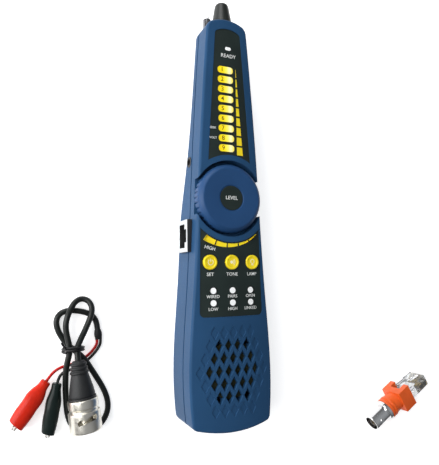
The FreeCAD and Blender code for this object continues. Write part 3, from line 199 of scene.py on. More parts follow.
BLUE = (0.019, 0.066, 0.152)
YELLOW = (0.95, 0.74, 0.01)
MATERIALS = {
    "case_blue": textured("case_blue", BLUE, 0.42, grain=1600, bump=0.05, mottle=0.05, patches=45,
                          Specular_IOR_Level=0.1),
    "dial_blue": textured("dial_blue", (0.015, 0.060, 0.165), 0.45, grain=2200, bump=0.04, mottle=0.04,
                          Specular_IOR_Level=0.25),
    "panel_black": textured("panel_black", (0.012, 0.021, 0.019), 0.5, grain=2600, bump=0.03, mottle=0.2,
                            Specular_IOR_Level=0.3),
    "print_white": textured("print_white", (0.85, 0.87, 0.85), 0.55, mottle=0.03),
    "print_yellow": textured("print_yellow", YELLOW, 0.5, mottle=0.04),
    "print_dark": textured("print_dark", (0.05, 0.03, 0.004), 0.6, mottle=0.1),
    # near-black for the rims round the windows and lamps: painted shade where their recesses would be
    "rim_painted_shade": textured("rim_painted_shade", (0.006, 0.006, 0.006), 0.6, mottle=0.1),
    # darker amber at the left end and pale in a band near x = 0.5, a painted highlight; the windows also
    # glow in this colour, as painted light
    "window_amber": along_x("window_amber", [(-6.0, (0.80, 0.60, 0.002)), (-2.8, (0.96, 0.76, 0.004)),
                                             (-1.0, (1.0, 0.88, 0.14)), (0.5, (1.0, 0.95, 0.55)),
                                             (2.5, (0.94, 0.75, 0.02))], 0.3, Emission_Strength=0.22),
    "button_yellow": textured("button_yellow", (0.93, 0.72, 0.01), 0.4, mottle=0.05),
    "icon_pale": textured("icon_pale", (0.95, 0.90, 0.62), 0.5, mottle=0.04),
    "lamp_white": textured("lamp_white", (0.92, 0.94, 0.94), 0.3, mottle=0.02, Emission_Strength=0.12),
    "tip_black": textured("tip_black", (0.014, 0.017, 0.015), 0.38, grain=1800, bump=0.06, mottle=0.15,
                          Specular_IOR_Level=0.35),
    "socket_silver": textured("socket_silver", (0.62, 0.64, 0.65), 0.36, mottle=0.08, metallic=0.6),
    "part_black": textured("part_black", (0.015, 0.015, 0.016), 0.5, mottle=0.15),
    "cloth_dark": textured("cloth_dark", (0.026, 0.030, 0.012), 0.9, grain=5200, bump=0.5, mottle=0.5,
                           patches=2600),
    "board_green": textured("board_green", (0.02, 0.15, 0.06), 0.35, mottle=0.2, patches=400),
    "chip_white": textured("chip_white", (0.85, 0.85, 0.80), 0.5),
    "steel": textured("steel", (0.62, 0.63, 0.64), 0.3, metallic=1.0, mottle=0.06),
    "ferrite": textured("ferrite", (0.05, 0.05, 0.055), 0.6, metallic=0.3),
    "copper": textured("copper", (0.72, 0.34, 0.15), 0.3, metallic=1.0),
    "gold": textured("gold", (0.85, 0.62, 0.25), 0.25, metallic=1.0, mottle=0.05),
    "nickel": textured("nickel", (0.76, 0.73, 0.65), 0.33, metallic=1.0, mottle=0.08, grain=900, bump=0.01,
                       patches=140),
    "torch_metal": textured("torch_metal", (0.26, 0.26, 0.27), 0.22, metallic=1.0, mottle=0.06),
    "chrome": textured("chrome", (0.78, 0.78, 0.78), 0.15, metallic=1.0, mottle=0.05, bump=0.01),
    "plug_clear": textured("plug_clear", (0.95, 0.97, 0.98), 0.08, mottle=0.02, bump=0.01, scatter=0.03,
                           Transmission_Weight=0.92, IOR=1.45),
    "adapter_orange": textured("adapter_orange", (0.74, 0.105, 0.014), 0.36, mottle=0.06, patches=130,
                               Specular_IOR_Level=0.35),
    "jacket_black": textured("jacket_black", (0.008, 0.010, 0.009), 0.38, grain=1500, bump=0.05, mottle=0.2,
                             Specular_IOR_Level=0.3),
    "boot_black": textured("boot_black", (0.013, 0.014, 0.015), 0.55, grain=1800, bump=0.08, mottle=0.2,
                           Specular_IOR_Level=0.35),
    "jacket_red": textured("jacket_red", (0.50, 0.012, 0.010), 0.4, grain=1500, bump=0.05,
                           Specular_IOR_Level=0.3),
    "vinyl_red": textured("vinyl_red", (0.56, 0.018, 0.005), 0.34, grain=900, bump=0.06, mottle=0.12,
                          patches=220, Specular_IOR_Level=0.15, Coat_Weight=0.05, Coat_Roughness=0.12),
    "vinyl_black": textured("vinyl_black", (0.006, 0.012, 0.011), 0.32, grain=900, bump=0.06, mottle=0.2,
                            patches=220, Specular_IOR_Level=0.15, Coat_Weight=0.05, Coat_Roughness=0.12),
    "tie_black": textured("tie_black", (0.007, 0.007, 0.008), 0.4, mottle=0.1, Specular_IOR_Level=0.35),
    "shrink_black": textured("shrink_black", (0.008, 0.008, 0.009), 0.5, grain=1200, bump=0.1,
                             Specular_IOR_Level=0.3),
    # dark grey for the jack's insulator: painted shade inside the mouth
    "insulator_painted_shade": textured("insulator_painted_shade", (0.06, 0.05, 0.045), 0.6, mottle=0.15),
}


def paint(piece, name):
    piece.data.materials.clear()
    piece.data.materials.append(MATERIALS[name])


# ---- mesh helpers, all in millimetres until a frame places them ----

def axis_frame(origin, direction, up=(0, 0, 1)):
    """A placing for local millimetres: X along a direction, Z as near to up as it can be."""
    x_axis = Vector(direction).normalized()
    y_axis = Vector(up).cross(x_axis).normalized()
    z_axis = x_axis.cross(y_axis)
    turn = Matrix((x_axis, y_axis, z_axis)).transposed().to_4x4()
    return Matrix.Translation(Vector(origin)) @ turn @ Matrix.Scale(MM, 4)


def turned_frame(place, degrees, axis):
    return Matrix.Translation(Vector(place) * MM) @ Matrix.Rotation(
        math.radians(degrees), 4, axis) @ Matrix.Scale(MM, 4)


def upright_frame(centre):
    return turned_frame((centre.x, centre.y, 0), -90, "Y")


KIT = Matrix.Scale(MM, 4)


def in_mm(box):
    """The low and high corners of a box, in millimetres."""
    return tuple(corner / MM for corner in box)


def finish_mesh(name, bm, placing, material, body, stands_for=(), smooth=35):
    """Turn a bmesh into a piece that rides on a body and has its finish."""
    bmesh.ops.recalc_face_normals(bm, faces=bm.faces)
    mesh = bpy.data.meshes.new(name)
    bm.to_mesh(mesh)
    bm.free()
    mesh.transform(placing)
    piece = linked(name, mesh)
    shade_by_angle(mesh, smooth)
    return settle(piece, material, body, stands_for)


def settle(piece, material, body, stands_for=()):
    """Give a piece its finish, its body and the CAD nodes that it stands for."""
    paint(piece, material)
    if body:
        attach(piece, body)
    if stands_for:
        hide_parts(*stands_for)
    return piece


def shade_by_angle(mesh, degrees):
    """Smooth every face and keep the edges that turn more than an angle sharp."""
    mesh.shade_smooth()
    mesh.set_sharp_from_angle(angle=math.radians(degrees))


def rounded(points, radius, steps=4):
    """Round the corners of an open line of points, each by as much as its neighbours allow."""
    most = 0.45
    result = [Vector(points[0])]
    for before, corner, after in zip(points, points[1:], points[2:]):
        corner = Vector(corner)
        back, ahead = Vector(before) - corner, Vector(after) - corner
        reach = min(radius, most * back.length, most * ahead.length)
        first, last = corner + back.normalized() * reach, corner + ahead.normalized() * reach
        for step in range(steps + 1):
            share = step / steps
            result.append(first * (1 - share) ** 2 + corner * 2 * share * (1 - share) + last * share ** 2)
    result.append(Vector(points[-1]))
    return result


def skin(bm, rings, closed_ends=True):
    """Join rings of vertices into a tube."""
    for ring, following in zip(rings, rings[1:]):
        count = len(ring)
        for index in range(count):
            after = (index + 1) % count
            bm.faces.new((ring[index], ring[after], following[after], following[index]))
    if closed_ends:
        bm.faces.new(list(reversed(rings[0])))
        bm.faces.new(rings[-1])


def lathe(name, profile, placing, material, body, stands_for=(), rounding=0.2, segments=72,
          waves=None, smooth=35):
    """Turn a profile of (along, radius) about X. Waves, if given, change the radius round the turn."""
    bm = bmesh.new()
    rings = []
    for along, radius in rounded(profile, rounding):
        ring = []
        for index in range(segments):
            angle = 2 * math.pi * index / segments
            reach = max(radius, 0.001)
            if waves:
                reach = waves(along, reach, angle)
            ring.append(bm.verts.new((along, reach * math.cos(angle), reach * math.sin(angle))))
        rings.append(ring)
    skin(bm, rings)
    return finish_mesh(name, bm, placing, material, body, stands_for, smooth)


def softened(node, width, material, smooth=35, segments=3):
    """A copy of a CAD node with its sharp edges eased, which then stands for the node."""
    bm = bmesh.new()
    bm.from_mesh(nodes[node].data)
    bmesh.ops.remove_doubles(bm, verts=bm.verts, dist=0.002 * MM)
    bmesh.ops.dissolve_limit(bm, angle_limit=math.radians(1), verts=bm.verts, edges=bm.edges)
    mesh = bpy.data.meshes.new(node + "_eased")
    bm.to_mesh(mesh)
    bm.free()
    piece = linked(node + "_eased", mesh)
    mesh.shade_smooth()
    bevel = piece.modifiers.new("bevel", "BEVEL")
    bevel.width = width * MM
    bevel.segments = segments
    bevel.limit_method = "ANGLE"
    bevel.angle_limit = math.radians(smooth)
    bevel.harden_normals = True
    return settle(piece, material, nodes[node]["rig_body"], (node,))


# ---- the receiver's crowned front ----

CROWN = 100.0
FACE_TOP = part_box("front_shell")[1].z / MM
PANEL_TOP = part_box("lower_overlay")[1].z / MM


def on_crown(across, top):
    """Height of the crowned front at a distance from the centre line, for a given height at the middle."""
    radius = CROWN - (FACE_TOP - top)
    return top - radius + math.sqrt(radius ** 2 - across ** 2)


def sliced(bm, step=1.2):
    """Cut a flat mesh into strips, so that it can follow the crown."""
    across = [vertex.co.x for vertex in bm.verts]
    place = math.ceil(min(across) / step) * step
    while place < max(across):
        parts = bm.verts[:] + bm.edges[:] + bm.faces[:]
        bmesh.ops.bisect_plane(bm, geom=parts, plane_co=(place, 0, 0), plane_no=(1, 0, 0))
        place += step


def pad(bm, outline, low, top, edge=0.12):
    """A plate with an eased upper edge: its sides stand on low, and its top follows the crown."""
    flat = bmesh.new()
    points = [flat.verts.new((x, y, 0)) for x, y in outline]
    face = flat.faces.new(points)
    for width, drop in ((edge * 0.3, 0.3), (edge * 0.7, 0.0)):
        bmesh.ops.inset_region(flat, faces=[face], thickness=width, use_even_offset=True)
        for vertex in face.verts:
            vertex.co.z = 1 - drop
    flat.verts.ensure_lookup_table()
    sliced(flat)
    mesh = bpy.data.meshes.new("pad")
    for vertex in flat.verts:
        share = vertex.co.z
        vertex.co.z = on_crown(vertex.co.x, top) - (1 - share) * edge
    rim = [line for line in flat.edges if line.is_boundary]
    walls = bmesh.ops.extrude_edge_only(flat, edges=rim)["geom"]
    for vertex in (item for item in walls if isinstance(item, bmesh.types.BMVert)):
        vertex.co.z = low
    flat.to_mesh(mesh)
    flat.free()
    bm.from_mesh(mesh)
    bpy.data.meshes.remove(mesh)


def rounded_rectangle(left, right, low, high, radius, steps=6):
    points = []
    for x, y, start in ((right - radius, high - radius, 0), (left + radius, high - radius, 90),
                        (left + radius, low + radius, 180), (right - radius, low + radius, 270)):
        for step in range(steps + 1):
            angle = math.radians(start + 90 * step / steps)
            points.append((x + radius * math.cos(angle), y + radius * math.sin(angle)))
    return points


def plates(name, outlines, low, top, material, body, stands_for=(), edge=0.12):
    """One piece made of a crowned plate for each outline."""
    bm = bmesh.new()
    for outline in outlines:
        pad(bm, outline, low, top, edge)
    return finish_mesh(name, bm, KIT, material, body, stands_for)


FONT_SIZE = 1.38
LETTER_DEPTH = 0.03
LETTER_LIFT = 0.025
LETTER_SWELL, SWELL_HEIGHT = 0.006, 1.6


def lettering(name, words, material, body, top, crowned=True):
    """Printed labels: (text, x, y, height, turn) each, laid on the crowned front or on a level face."""
    bm = bmesh.new()
    for text, x, y, height, turn in words:
        curve = bpy.data.curves.new(name, "FONT")
        curve.body = text
        curve.size = height * FONT_SIZE
        curve.align_x = "CENTER"
        curve.align_y = "CENTER"
        curve.extrude = LETTER_DEPTH
        curve.offset = LETTER_SWELL * height / SWELL_HEIGHT
        curve.resolution_u = 3
        holder = bpy.data.objects.new(name, curve)
        mesh = bpy.data.meshes.new_from_object(holder)
        mesh.transform(Matrix.Translation((x, y, 0)) @ Matrix.Rotation(math.radians(turn), 4, "Z"))
        for vertex in mesh.vertices:
            vertex.co.z += (on_crown(vertex.co.x, top) if crowned else top) + LETTER_LIFT
        bm.from_mesh(mesh)
        bpy.data.meshes.remove(mesh)
        bpy.data.objects.remove(holder)
        bpy.data.curves.remove(curve)
    return finish_mesh(name, bm, KIT, material, body, (), 60)


# ---- cables ----

def cord_piece(name, points, diameter, material, body, stands_for):
    """A cord whose one smooth line has the route's points as its control points."""
    curve = bpy.data.curves.new(name, "CURVE")
    curve.dimensions = "3D"
    curve.bevel_depth = diameter / 2 * MM
    curve.bevel_resolution = 6
    curve.resolution_u = 10
    curve.use_fill_caps = True
    spline = curve.splines.new("NURBS")
    spline.points.add(len(points) - 1)
    for point, place in zip(spline.points, points):
        point.co = (*(number * MM for number in place), 1)
    spline.order_u = 3
    spline.use_endpoint_u = True
    return settle(linked(name, curve), material, body, stands_for)


COAX_DIAMETER, WIRE_DIAMETER = 2.8, 1.4
# each route runs from its fixed end, in millimetres
COAX_ROUTE = [
    (-71.2, -16.0, 8.3), (-71.56, -13.03, 8.14), (-71.4, -10.0, 7.0), (-69.8, -6.6, 6.0),
    (-67.9, -3.0, 5.3), (-66.2, 0.8, 5.0), (-64.7, 4.6, 5.0), (-64.2, 8.3, 4.1), (-65.8, 11.4, 2.7),
    (-68.9, 12.5, 1.8), (-71.9, 11.2, 2.6), (-74.0, 8.4, 4.3), (-75.6, 5.0, 5.0), (-76.5, 1.4, 5.0),
    (-76.4, -2.2, 4.7), (-75.6, -6.0, 4.9), (-74.7, -9.6, 5.3), (-74.7, -13.2, 5.1),
    (-75.5, -16.8, 4.4), (-76.0, -20.6, 3.7), (-76.1, -24.8, 3.0), (-75.9, -30.0, 1.7),
    (-75.5, -36.0, 1.45), (-74.8, -42.0, 1.45), (-73.0, -46.8, 1.45), (-68.6, -49.8, 1.45),
    (-63.0, -50.2, 1.45), (-58.4, -47.4, 1.45), (-55.8, -42.2, 1.45), (-56.0, -36.8, 1.45),
    (-58.2, -31.2, 1.45), (-61.4, -25.8, 1.5), (-64.2, -21.4, 2.4), (-66.6, -17.6, 3.3),
    (-69.3, -14.4, 3.4), (-72.2, -11.9, 2.8), (-75.2, -9.2, 1.8), (-77.9, -5.6, 1.45),
    (-80.0, -1.6, 1.45), (-80.6, 2.4, 1.45), (-79.2, 5.4, 1.45), (-76.0, 6.9, 1.45),
    (-72.2, 6.8, 1.45), (-68.4, 6.1, 1.45), (-65.0, 4.9, 1.45), (-62.5, 2.6, 1.8), (-61.5, -0.4, 1.9),
    (-61.2, -3.0, 1.9),
]
RED_ROUTE = [
    (-61.48, -7.7, 1.9), (-61.3, -9.3, 1.8), (-62.0, -11.2, 1.1), (-64.2, -14.0, 0.8),
    (-67.6, -16.6, 0.8), (-71.2, -18.4, 0.8), (-74.8, -19.1, 0.8), (-78.2, -19.6, 0.9),
    (-81.6, -21.4, 2.0), (-84.2, -24.33, 3.25), (-86.56, -27.68, 3.25),
]
BLACK_ROUTE = [
    (-59.8, -7.5, 1.9), (-59.6, -9.1, 1.8), (-60.4, -11.6, 1.1), (-62.8, -14.8, 0.8),
    (-66.2, -17.8, 0.8), (-70.0, -20.0, 0.8), (-73.9, -21.3, 0.8), (-77.8, -22.5, 0.85),
    (-79.78, -25.6, 3.25), (-80.46, -29.65, 3.25),
]
coax = cord_piece("coax_jacket", COAX_ROUTE, COAX_DIAMETER, "jacket_black", "lead", ("coax_cable",))
red_lead = cord_piece("red_lead", RED_ROUTE, WIRE_DIAMETER, "jacket_red", "lead", ("red_wire",))
black_lead = cord_piece("black_lead", BLACK_ROUTE, WIRE_DIAMETER, "jacket_black", "lead", ("black_wire",))


# ---- coax plug and the pieces on the cable ----

def plug_placing():
    """The coax plug's frame: from the cable's end to the middle of the mouth."""
    start = Vector(COAX_ROUTE[0]) * MM
    return axis_frame(start, Vector(mounts["bnc_plug"]["pos_m"]) - start)


def make_boot():
    """A matte rubber boot: three ribs at the cable, then a smooth flare to the plug."""
    profile = [(0, 1.42), (0, 2.7), (0.5, 3.0)]
    first_rib, rib_pitch = 0.9, 1.9
    for rib in range(3):
        start = first_rib + rib_pitch * rib
        base = 3.0 + 0.16 * start
        profile += [(start, base), (start + 0.2, base + 0.6), (start + 1.05, base + 0.62),
                    (start + 1.25, base + 0.1)]
    profile += [(8.2, 4.4), (12.4, 5.4), (15.4, 5.9), (16.3, 5.9), (16.3, 5.5), (16.5, 5.5), (16.5, 2.9)]
    lathe("cable_boot", profile, plug_placing(), "boot_black", "lead", ("strain_relief_boot",),
          rounding=0.35)


def make_nut():
    """The bayonet collar: two curved slots, a groove behind them and a fine-knurled rear band."""
    knurl_depth, knurl_count = 0.045, 72

    def knurl(along, reach, angle):
        rear = 18.0 < along < 21.0 and reach > 6.5
        return reach + (knurl_depth * math.cos(knurl_count * angle) if rear else 0.0)
    profile = [(17.45, 6.05), (17.45, 6.6), (17.8, 6.85), (21.3, 6.85), (21.6, 6.35), (22.6, 6.35),
               (22.9, 7.2), (24.4, 7.25), (31.5, 7.25), (32.0, 6.9), (32.0, 5.0), (27.0, 5.0),
               (20.0, 5.0), (19.7, 6.05)]
    bm = bmesh.new()
    rings = []
    segments = 216
    for along, radius in rounded(profile, 0.25):
        rings.append([bm.verts.new((along, knurl(along, radius, turn) * math.cos(turn),
                                    knurl(along, radius, turn) * math.sin(turn)))
                      for turn in (2 * math.pi * index / segments for index in range(segments))])
    skin(bm, rings + [rings[0]], closed_ends=False)
    bmesh.ops.recalc_face_normals(bm, faces=bm.faces)
    mesh = bpy.data.meshes.new("collar_base")
    bm.to_mesh(mesh)
    bm.free()
    base, cutters = linked("collar_base", mesh), linked("collar_cutters", slot_cutters())
    boolean = base.modifiers.new("slots", "BOOLEAN")
    boolean.operation = "DIFFERENCE"
    boolean.solver = "EXACT"
    boolean.object = cutters
    graph = bpy.context.evaluated_depsgraph_get()
    cut_mesh = bpy.data.meshes.new_from_object(base.evaluated_get(graph))
    for extra in (base, cutters):
        bpy.data.objects.remove(extra)
    cut_mesh.transform(plug_placing())
    shade_by_angle(cut_mesh, 30)
    settle(linked("coupling_collar", cut_mesh), "nickel", "nut", ("coupling_nut",))


def slot_cutters():
    """Two curved slots through the collar, each with a round end that takes the jack's lug."""
    first_along, slant, first_turn, sweep = 25.2, 1.7, 50, 75
    half_width, inside, outside, steps = 1.15, 4.4, 8.2, 24
    bm = bmesh.new()
    for side in (0, math.pi):
        rows = []
        for step in range(steps + 1):
            share = step / steps
            along = first_along + slant * share
            turn = side + math.radians(first_turn + sweep * share)
            half = half_width * math.sqrt(max(0.05, 1 - max(0.0, abs(share - 0.5) - 0.44) ** 2 / 0.0036))
            corners = ((-half, inside), (half, inside), (half, outside), (-half, outside))
            rows.append([bm.verts.new((along + move, reach * math.cos(turn), reach * math.sin(turn)))
                         for move, reach in corners])
        skin(bm, rows)
    bmesh.ops.recalc_face_normals(bm, faces=bm.faces)
    mesh = bpy.data.meshes.new("slots")
    bm.to_mesh(mesh)
    bm.free()
    return mesh


def make_plug_inside():
    """The shield, its insulator and the centre pin, seen in the collar's mouth."""
    placing = plug_placing()
    floor = 21.05
    shield = [(7.55, 0.05), (7.55, 2.85), (16.55, 2.85), (16.55, 5.85), (19.35, 5.85), (19.35, 3.95),
              (29.6, 3.95), (30.1, 3.7), (30.1, 3.3), (floor, 3.3), (floor, 0.05)]
    gasket = [(16.5, 4.5), (16.5, 6.3), (17.35, 6.3), (17.35, 4.5)]
    insulator = [(floor, 0.7), (floor, 3.28), (28.0, 3.28), (28.2, 3.1), (28.2, 0.7)]
    pin = [(floor, 0.02), (floor, 0.68), (29.6, 0.68), (30.15, 0.3), (30.2, 0.02)]
    lathe("plug_shield", shield, placing, "nickel", "lead", ("bnc_plug_body",), rounding=0.12)
    lathe("gasket_ring", gasket, placing, "part_black", "lead", rounding=0.2)
    lathe("plug_insulation", insulator, placing, "chip_white", "lead", ("bnc_plug_insulator",),
          rounding=0.15)
    lathe("plug_centre_pin", pin, placing, "gold", "lead", ("bnc_plug_pin",), rounding=0.2)


def make_heat_shrink():
    """Shrunk tube: tight on the coax at one end and pinched flat between the two wires at the other."""
    start = Vector(COAX_ROUTE[-1])
    finish = (Vector(RED_ROUTE[0]) + Vector(BLACK_ROUTE[0])) / 2
    length = (finish - start).length
    bm = bmesh.new()
    rings = []
    segments = 40
    tight, bulge, unevenness = 1.5, 0.33, 0.02
    for step in range(15):
        share = step / 14
        swell = (tight + bulge * math.sin(math.pi * min(1.0, share * 1.15))
                 + unevenness * math.sin(23 * share))
        wide, tall = swell + 0.18 * share, swell - 0.3 * share
        rings.append([bm.verts.new((length * share, wide * math.cos(turn), tall * math.sin(turn)))
                      for turn in (2 * math.pi * index / segments for index in range(segments))])
    skin(bm, rings)
    placing = axis_frame(start * MM, finish - start)
    finish_mesh("shrunk_tube", bm, placing, "shrink_black", "lead", ("heat_shrink",))


def swept(bm, points, radius, sides=12):
    """A round wire through points, for a tie or a spring."""
    rings = []
    for index, point in enumerate(points):
        ahead = (points[min(index + 1, len(points) - 1)] - points[max(index - 1, 0)]).normalized()
        side = (side - ahead * side.dot(ahead) if rings else ahead.orthogonal()).normalized()
        other = ahead.cross(side)
        rings.append([bm.verts.new(point + (side * math.cos(turn) + other * math.sin(turn)) * radius)
                      for turn in (2 * math.pi * step / sides for step in range(sides))])
    skin(bm, rings)


def make_tie():
    """A plastic-coated tie wire: twice round the strands, with its ends twisted together."""
    centre, reach, start = Vector((-73.1, -11.5, 5.5)), 4.85, math.radians(135)
    wraps, pitch, wire_radius, wrap_steps = 2, 1.15, 0.52, 120
    bm = bmesh.new()
    ring = []
    for step in range(wrap_steps + 1):
        turn = start + 2 * math.pi * wraps * step / wrap_steps
        ring.append(centre + Vector((reach * math.cos(turn), pitch * (turn - start) / (2 * math.pi) - 0.6,
                                     reach * math.sin(turn))))
    swept(bm, ring, wire_radius)
    knot = centre + Vector((-reach * 0.7, 0.6, reach * 0.7))
    tail, tail_length, tail_steps = Vector((-0.5, 0.75, 0.25)).normalized(), 4.6, 32
    for phase in (0, math.pi):
        twist = []
        for step in range(tail_steps + 1):
            share = step / tail_steps
            turn = phase + 4.5 * math.pi * share
            along = knot + tail * (tail_length * share)
            twist.append(along + Vector((0.30 * math.cos(turn), 0.18 * math.sin(turn),
                                         0.30 * math.sin(turn))))
        swept(bm, twist, 0.3, 10)
    finish_mesh("wire_tie", bm, KIT, "tie_black", "lead", ("twist_tie",))


# ---- crocodile clips ----

HINGE_ALONG = 12


def clip_frame(colour, route):
    """A clip's pivot, the way it points, and its placing, with the hinge a set distance along it."""
    pivot = Vector(joints[colour + "_clip_open"]["pos_m"])
    heading = pivot - Vector(route[-1]) * MM
    heading.z = 0
    heading.normalize()
    return pivot, heading, axis_frame(pivot - heading * (HINGE_ALONG * MM), heading)


def make_sleeve(colour, placing):
    """The soft vinyl sleeve: a narrow neck, flat thumb pads in the middle and a slanted open nose."""
    sections = [(0.0, 2.0, 2.0), (0.5, 2.3, 2.25), (2.6, 2.35, 2.3), (3.6, 2.6, 2.4), (5.2, 3.25, 2.7),
                (7.2, 3.9, 2.95), (9.2, 4.25, 3.1), (11.0, 4.32, 3.2), (13.0, 4.25, 3.15), (15.0, 4.18, 3.1),
                (17.0, 4.08, 3.02), (19.5, 3.9, 2.93), (21.0, 3.75, 2.85), (22.0, 3.6, 2.8)]
    if colour == "black":
        # the black one is a little longer and narrower
        sections = [(along * 1.02,
                     tall * (0.86 if along > 4 else 0.95) * (1 - 0.06 * max(0, along - 13) / 9), wide)
                    for along, tall, wide in sections]
    wall, segments, squareness, nose_slant = 0.45, 48, 2.35, 0.16
    pad_dip, pad_spread, ridge_height = 0.09, 3.2, 0.10

    def slant_at(along):
        return nose_slant * max(0.0, (along - 15) / 7)

    def section(along, tall, wide, slant):
        ring = []
        for index in range(segments):
            turn = 2 * math.pi * index / segments
            cosine, sine = math.cos(turn), math.sin(turn)
            across = tall * math.copysign(abs(cosine) ** (2 / squareness), cosine)
            up = wide * math.copysign(abs(sine) ** (2 / squareness), sine)
            waist = 1 - pad_dip * math.exp(-((along - HINGE_ALONG) / pad_spread) ** 2) * abs(cosine) ** 3
            ridge = ridge_height * math.cos(turn * 2) ** 8 * min(1.0, along / 5)
            ring.append(bm.verts.new((along + slant * across, across * waist, up * (1 + ridge * 0.3))))
        return ring

    bm = bmesh.new()
    smooth_sections = []
    for first, second in zip(sections, sections[1:]):
        for step in range(3):
            share = step / 3
            smooth_sections.append(tuple(a + (b - a) * share for a, b in zip(first, second)))
    smooth_sections.append(sections[-1])
    rings = [section(along, tall, wide, slant_at(along)) for along, tall, wide in smooth_sections]
    along, tall, wide = sections[-1]
    rings.append(section(along + 0.15, tall - wall * 0.5, wide - wall * 0.5, nose_slant))
    rings += [section(along, tall - wall, wide - wall, slant_at(along))
              for along, tall, wide in reversed(smooth_sections[6:])]
    skin(bm, rings)
    return finish_mesh(colour + "_boot", bm, placing, "vinyl_" + colour, None, (colour + "_clip_sleeve",),
                       smooth=60)


def make_clip(colour, route):
    """A clip: folded steel jaws on a riveted pin with a coil spring, in a sleeve."""
    for part in ("fixed_jaw", "moving_jaw"):
        softened("%s_clip_%s" % (colour, part), 0.08, "nickel", segments=2)
    pivot, heading, placing = clip_frame(colour, route)
    pin = placing @ Matrix.Translation((HINGE_ALONG, 0, 0)) @ Matrix.Rotation(math.radians(-90), 4, "Y")
    rivet = [(-1.9, 0.02), (-1.9, 0.7), (-1.78, 0.85), (-1.76, 0.6), (1.76, 0.6), (1.78, 0.85), (1.9, 0.7),
             (1.9, 0.02)]
    lathe(colour + "_rivet", rivet, pin, "nickel", "lead", (colour + "_clip_pin",), rounding=0.05,
          segments=32)
    bm = bmesh.new()
    coil_radius, coil_steps, step_turn = 0.9, 72, math.pi / 9
    turns = [pin @ Vector((-0.5 + step / coil_steps, coil_radius * math.cos(step * step_turn),
                           coil_radius * math.sin(step * step_turn))) for step in range(coil_steps + 1)]
    swept(bm, [point / MM for point in turns], 0.16, 8)
    finish_mesh(colour + "_coil_spring", bm, KIT, "steel", "lead", (colour + "_clip_spring",))
    sleeve = make_sleeve(colour, placing)
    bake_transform(sleeve)
    return [sleeve.name, colour + "_rivet", colour + "_coil_spring"]


make_boot()
make_nut()
make_plug_inside()
make_heat_shrink()
make_tie()
red_clip = make_clip("red", RED_ROUTE)
black_clip = make_clip("black", BLACK_ROUTE)


# ---- the receiver ----

for node in ("front_shell", "rear_shell", "battery_door"):
    paint(nodes[node], "case_blue")
for node in ("upper_overlay", "lower_overlay"):
    paint(nodes[node], "panel_black")
for node, material in (("case_screws", "steel"), ("main_board", "board_green"),
                       ("level_leds", "chip_white"), ("potentiometer", "steel"),
                       ("tactile_switches", "part_black"), ("speaker", "part_black"),
                       ("speaker_cloth", "cloth_dark"), ("battery", "steel"),
                       ("battery_terminals", "gold"), ("battery_snap", "part_black"),
                       ("rj45_contacts", "gold"), ("pickup_rod", "ferrite"),
                       ("pickup_coil", "copper"), ("dial_shaft", "steel"),
                       ("earphone_jack", "part_black")):
    paint(nodes[node], material)


def circle_outline(across, along, radius, count=40):
    return [(across + radius * math.cos(2 * math.pi * step / count),
             along + radius * math.sin(2 * math.pi * step / count)) for step in range(count)]


def make_windows():
    """Nine amber windows, each in a dark rim of painted shade, a digit in each, and the wedge of bars beside
    them.
    """
    low, high = in_mm(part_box("level_windows"))
    count, half, rim_width = 9, 1.8, 0.35
    pitch = (high.y - low.y - 2 * half) / (count - 1)
    places = [high.y - half - pitch * index for index in range(count)]
    rim = [rounded_rectangle(low.x - rim_width, high.x + rim_width, place - half - rim_width,
                             place + half + rim_width, 1.75) for place in places]
    # the dark rim round each window is painted shade for its recess
    plates("window_rims", rim, PANEL_TOP - 0.2, PANEL_TOP + 0.04, "rim_painted_shade", "receiver")
    faces = [rounded_rectangle(low.x, high.x, place - half, place + half, 1.5) for place in places]
    # the window faces glow with painted light and carry a painted highlight band
    plates("window_faces", faces, PANEL_TOP - 0.6, PANEL_TOP + 0.22, "window_amber", "receiver",
           ("level_windows",), edge=0.3)
    digits = [(str(index + 1), low.x + 2.4, place, 2.4, 0) for index, place in enumerate(places)]
    lettering("window_digits", digits, "print_dark", "receiver", PANEL_TOP + 0.2)
    bars = []
    thinnest, growth = 0.12, 0.36
    for index, place in enumerate(places):
        top_width, foot_width = thinnest + growth * index, thinnest + growth * (index + 0.85)
        left, upper, lower = high.x + 1.65, place + 1.1, place - 3.1
        bars.append([(left, lower), (left + foot_width, lower), (left + top_width, upper), (left, upper)])
    plates("level_wedge", bars, PANEL_TOP - 0.1, PANEL_TOP + 0.05, "print_yellow", "receiver",
           edge=0.03)


def make_arc_scale():
    """Five yellow arc segments below the dial, wide at the loud end and running out to a point."""
    low, high = in_mm(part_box("sensitivity_dial"))
    centre = (low + high) / 2
    outlines = []
    count, gap, inner, widest, thinnest = 5, 0.06, 23.0, 3.0, 0.12
    start, finish = -126.0, -50.5
    for index in range(count):
        first = start + (finish - start) * (index + gap) / count
        last = start + (finish - start) * (index + 1 - gap) / count
        angles = [first + (last - first) * step / 8 for step in range(9)]
        near = [(math.radians(angle), inner) for angle in angles]
        far = [(math.radians(angle),
                inner + max(thinnest, widest * ((finish - angle) / (finish - start)) ** 0.85))
               for angle in angles]
        outlines.append([(centre.x + radius * math.cos(angle), centre.y + radius * math.sin(angle))
                         for angle, radius in near + far[::-1]])
    plates("loudness_scale", outlines, PANEL_TOP - 0.1, PANEL_TOP + 0.05, "print_yellow", "receiver",
           edge=0.03)


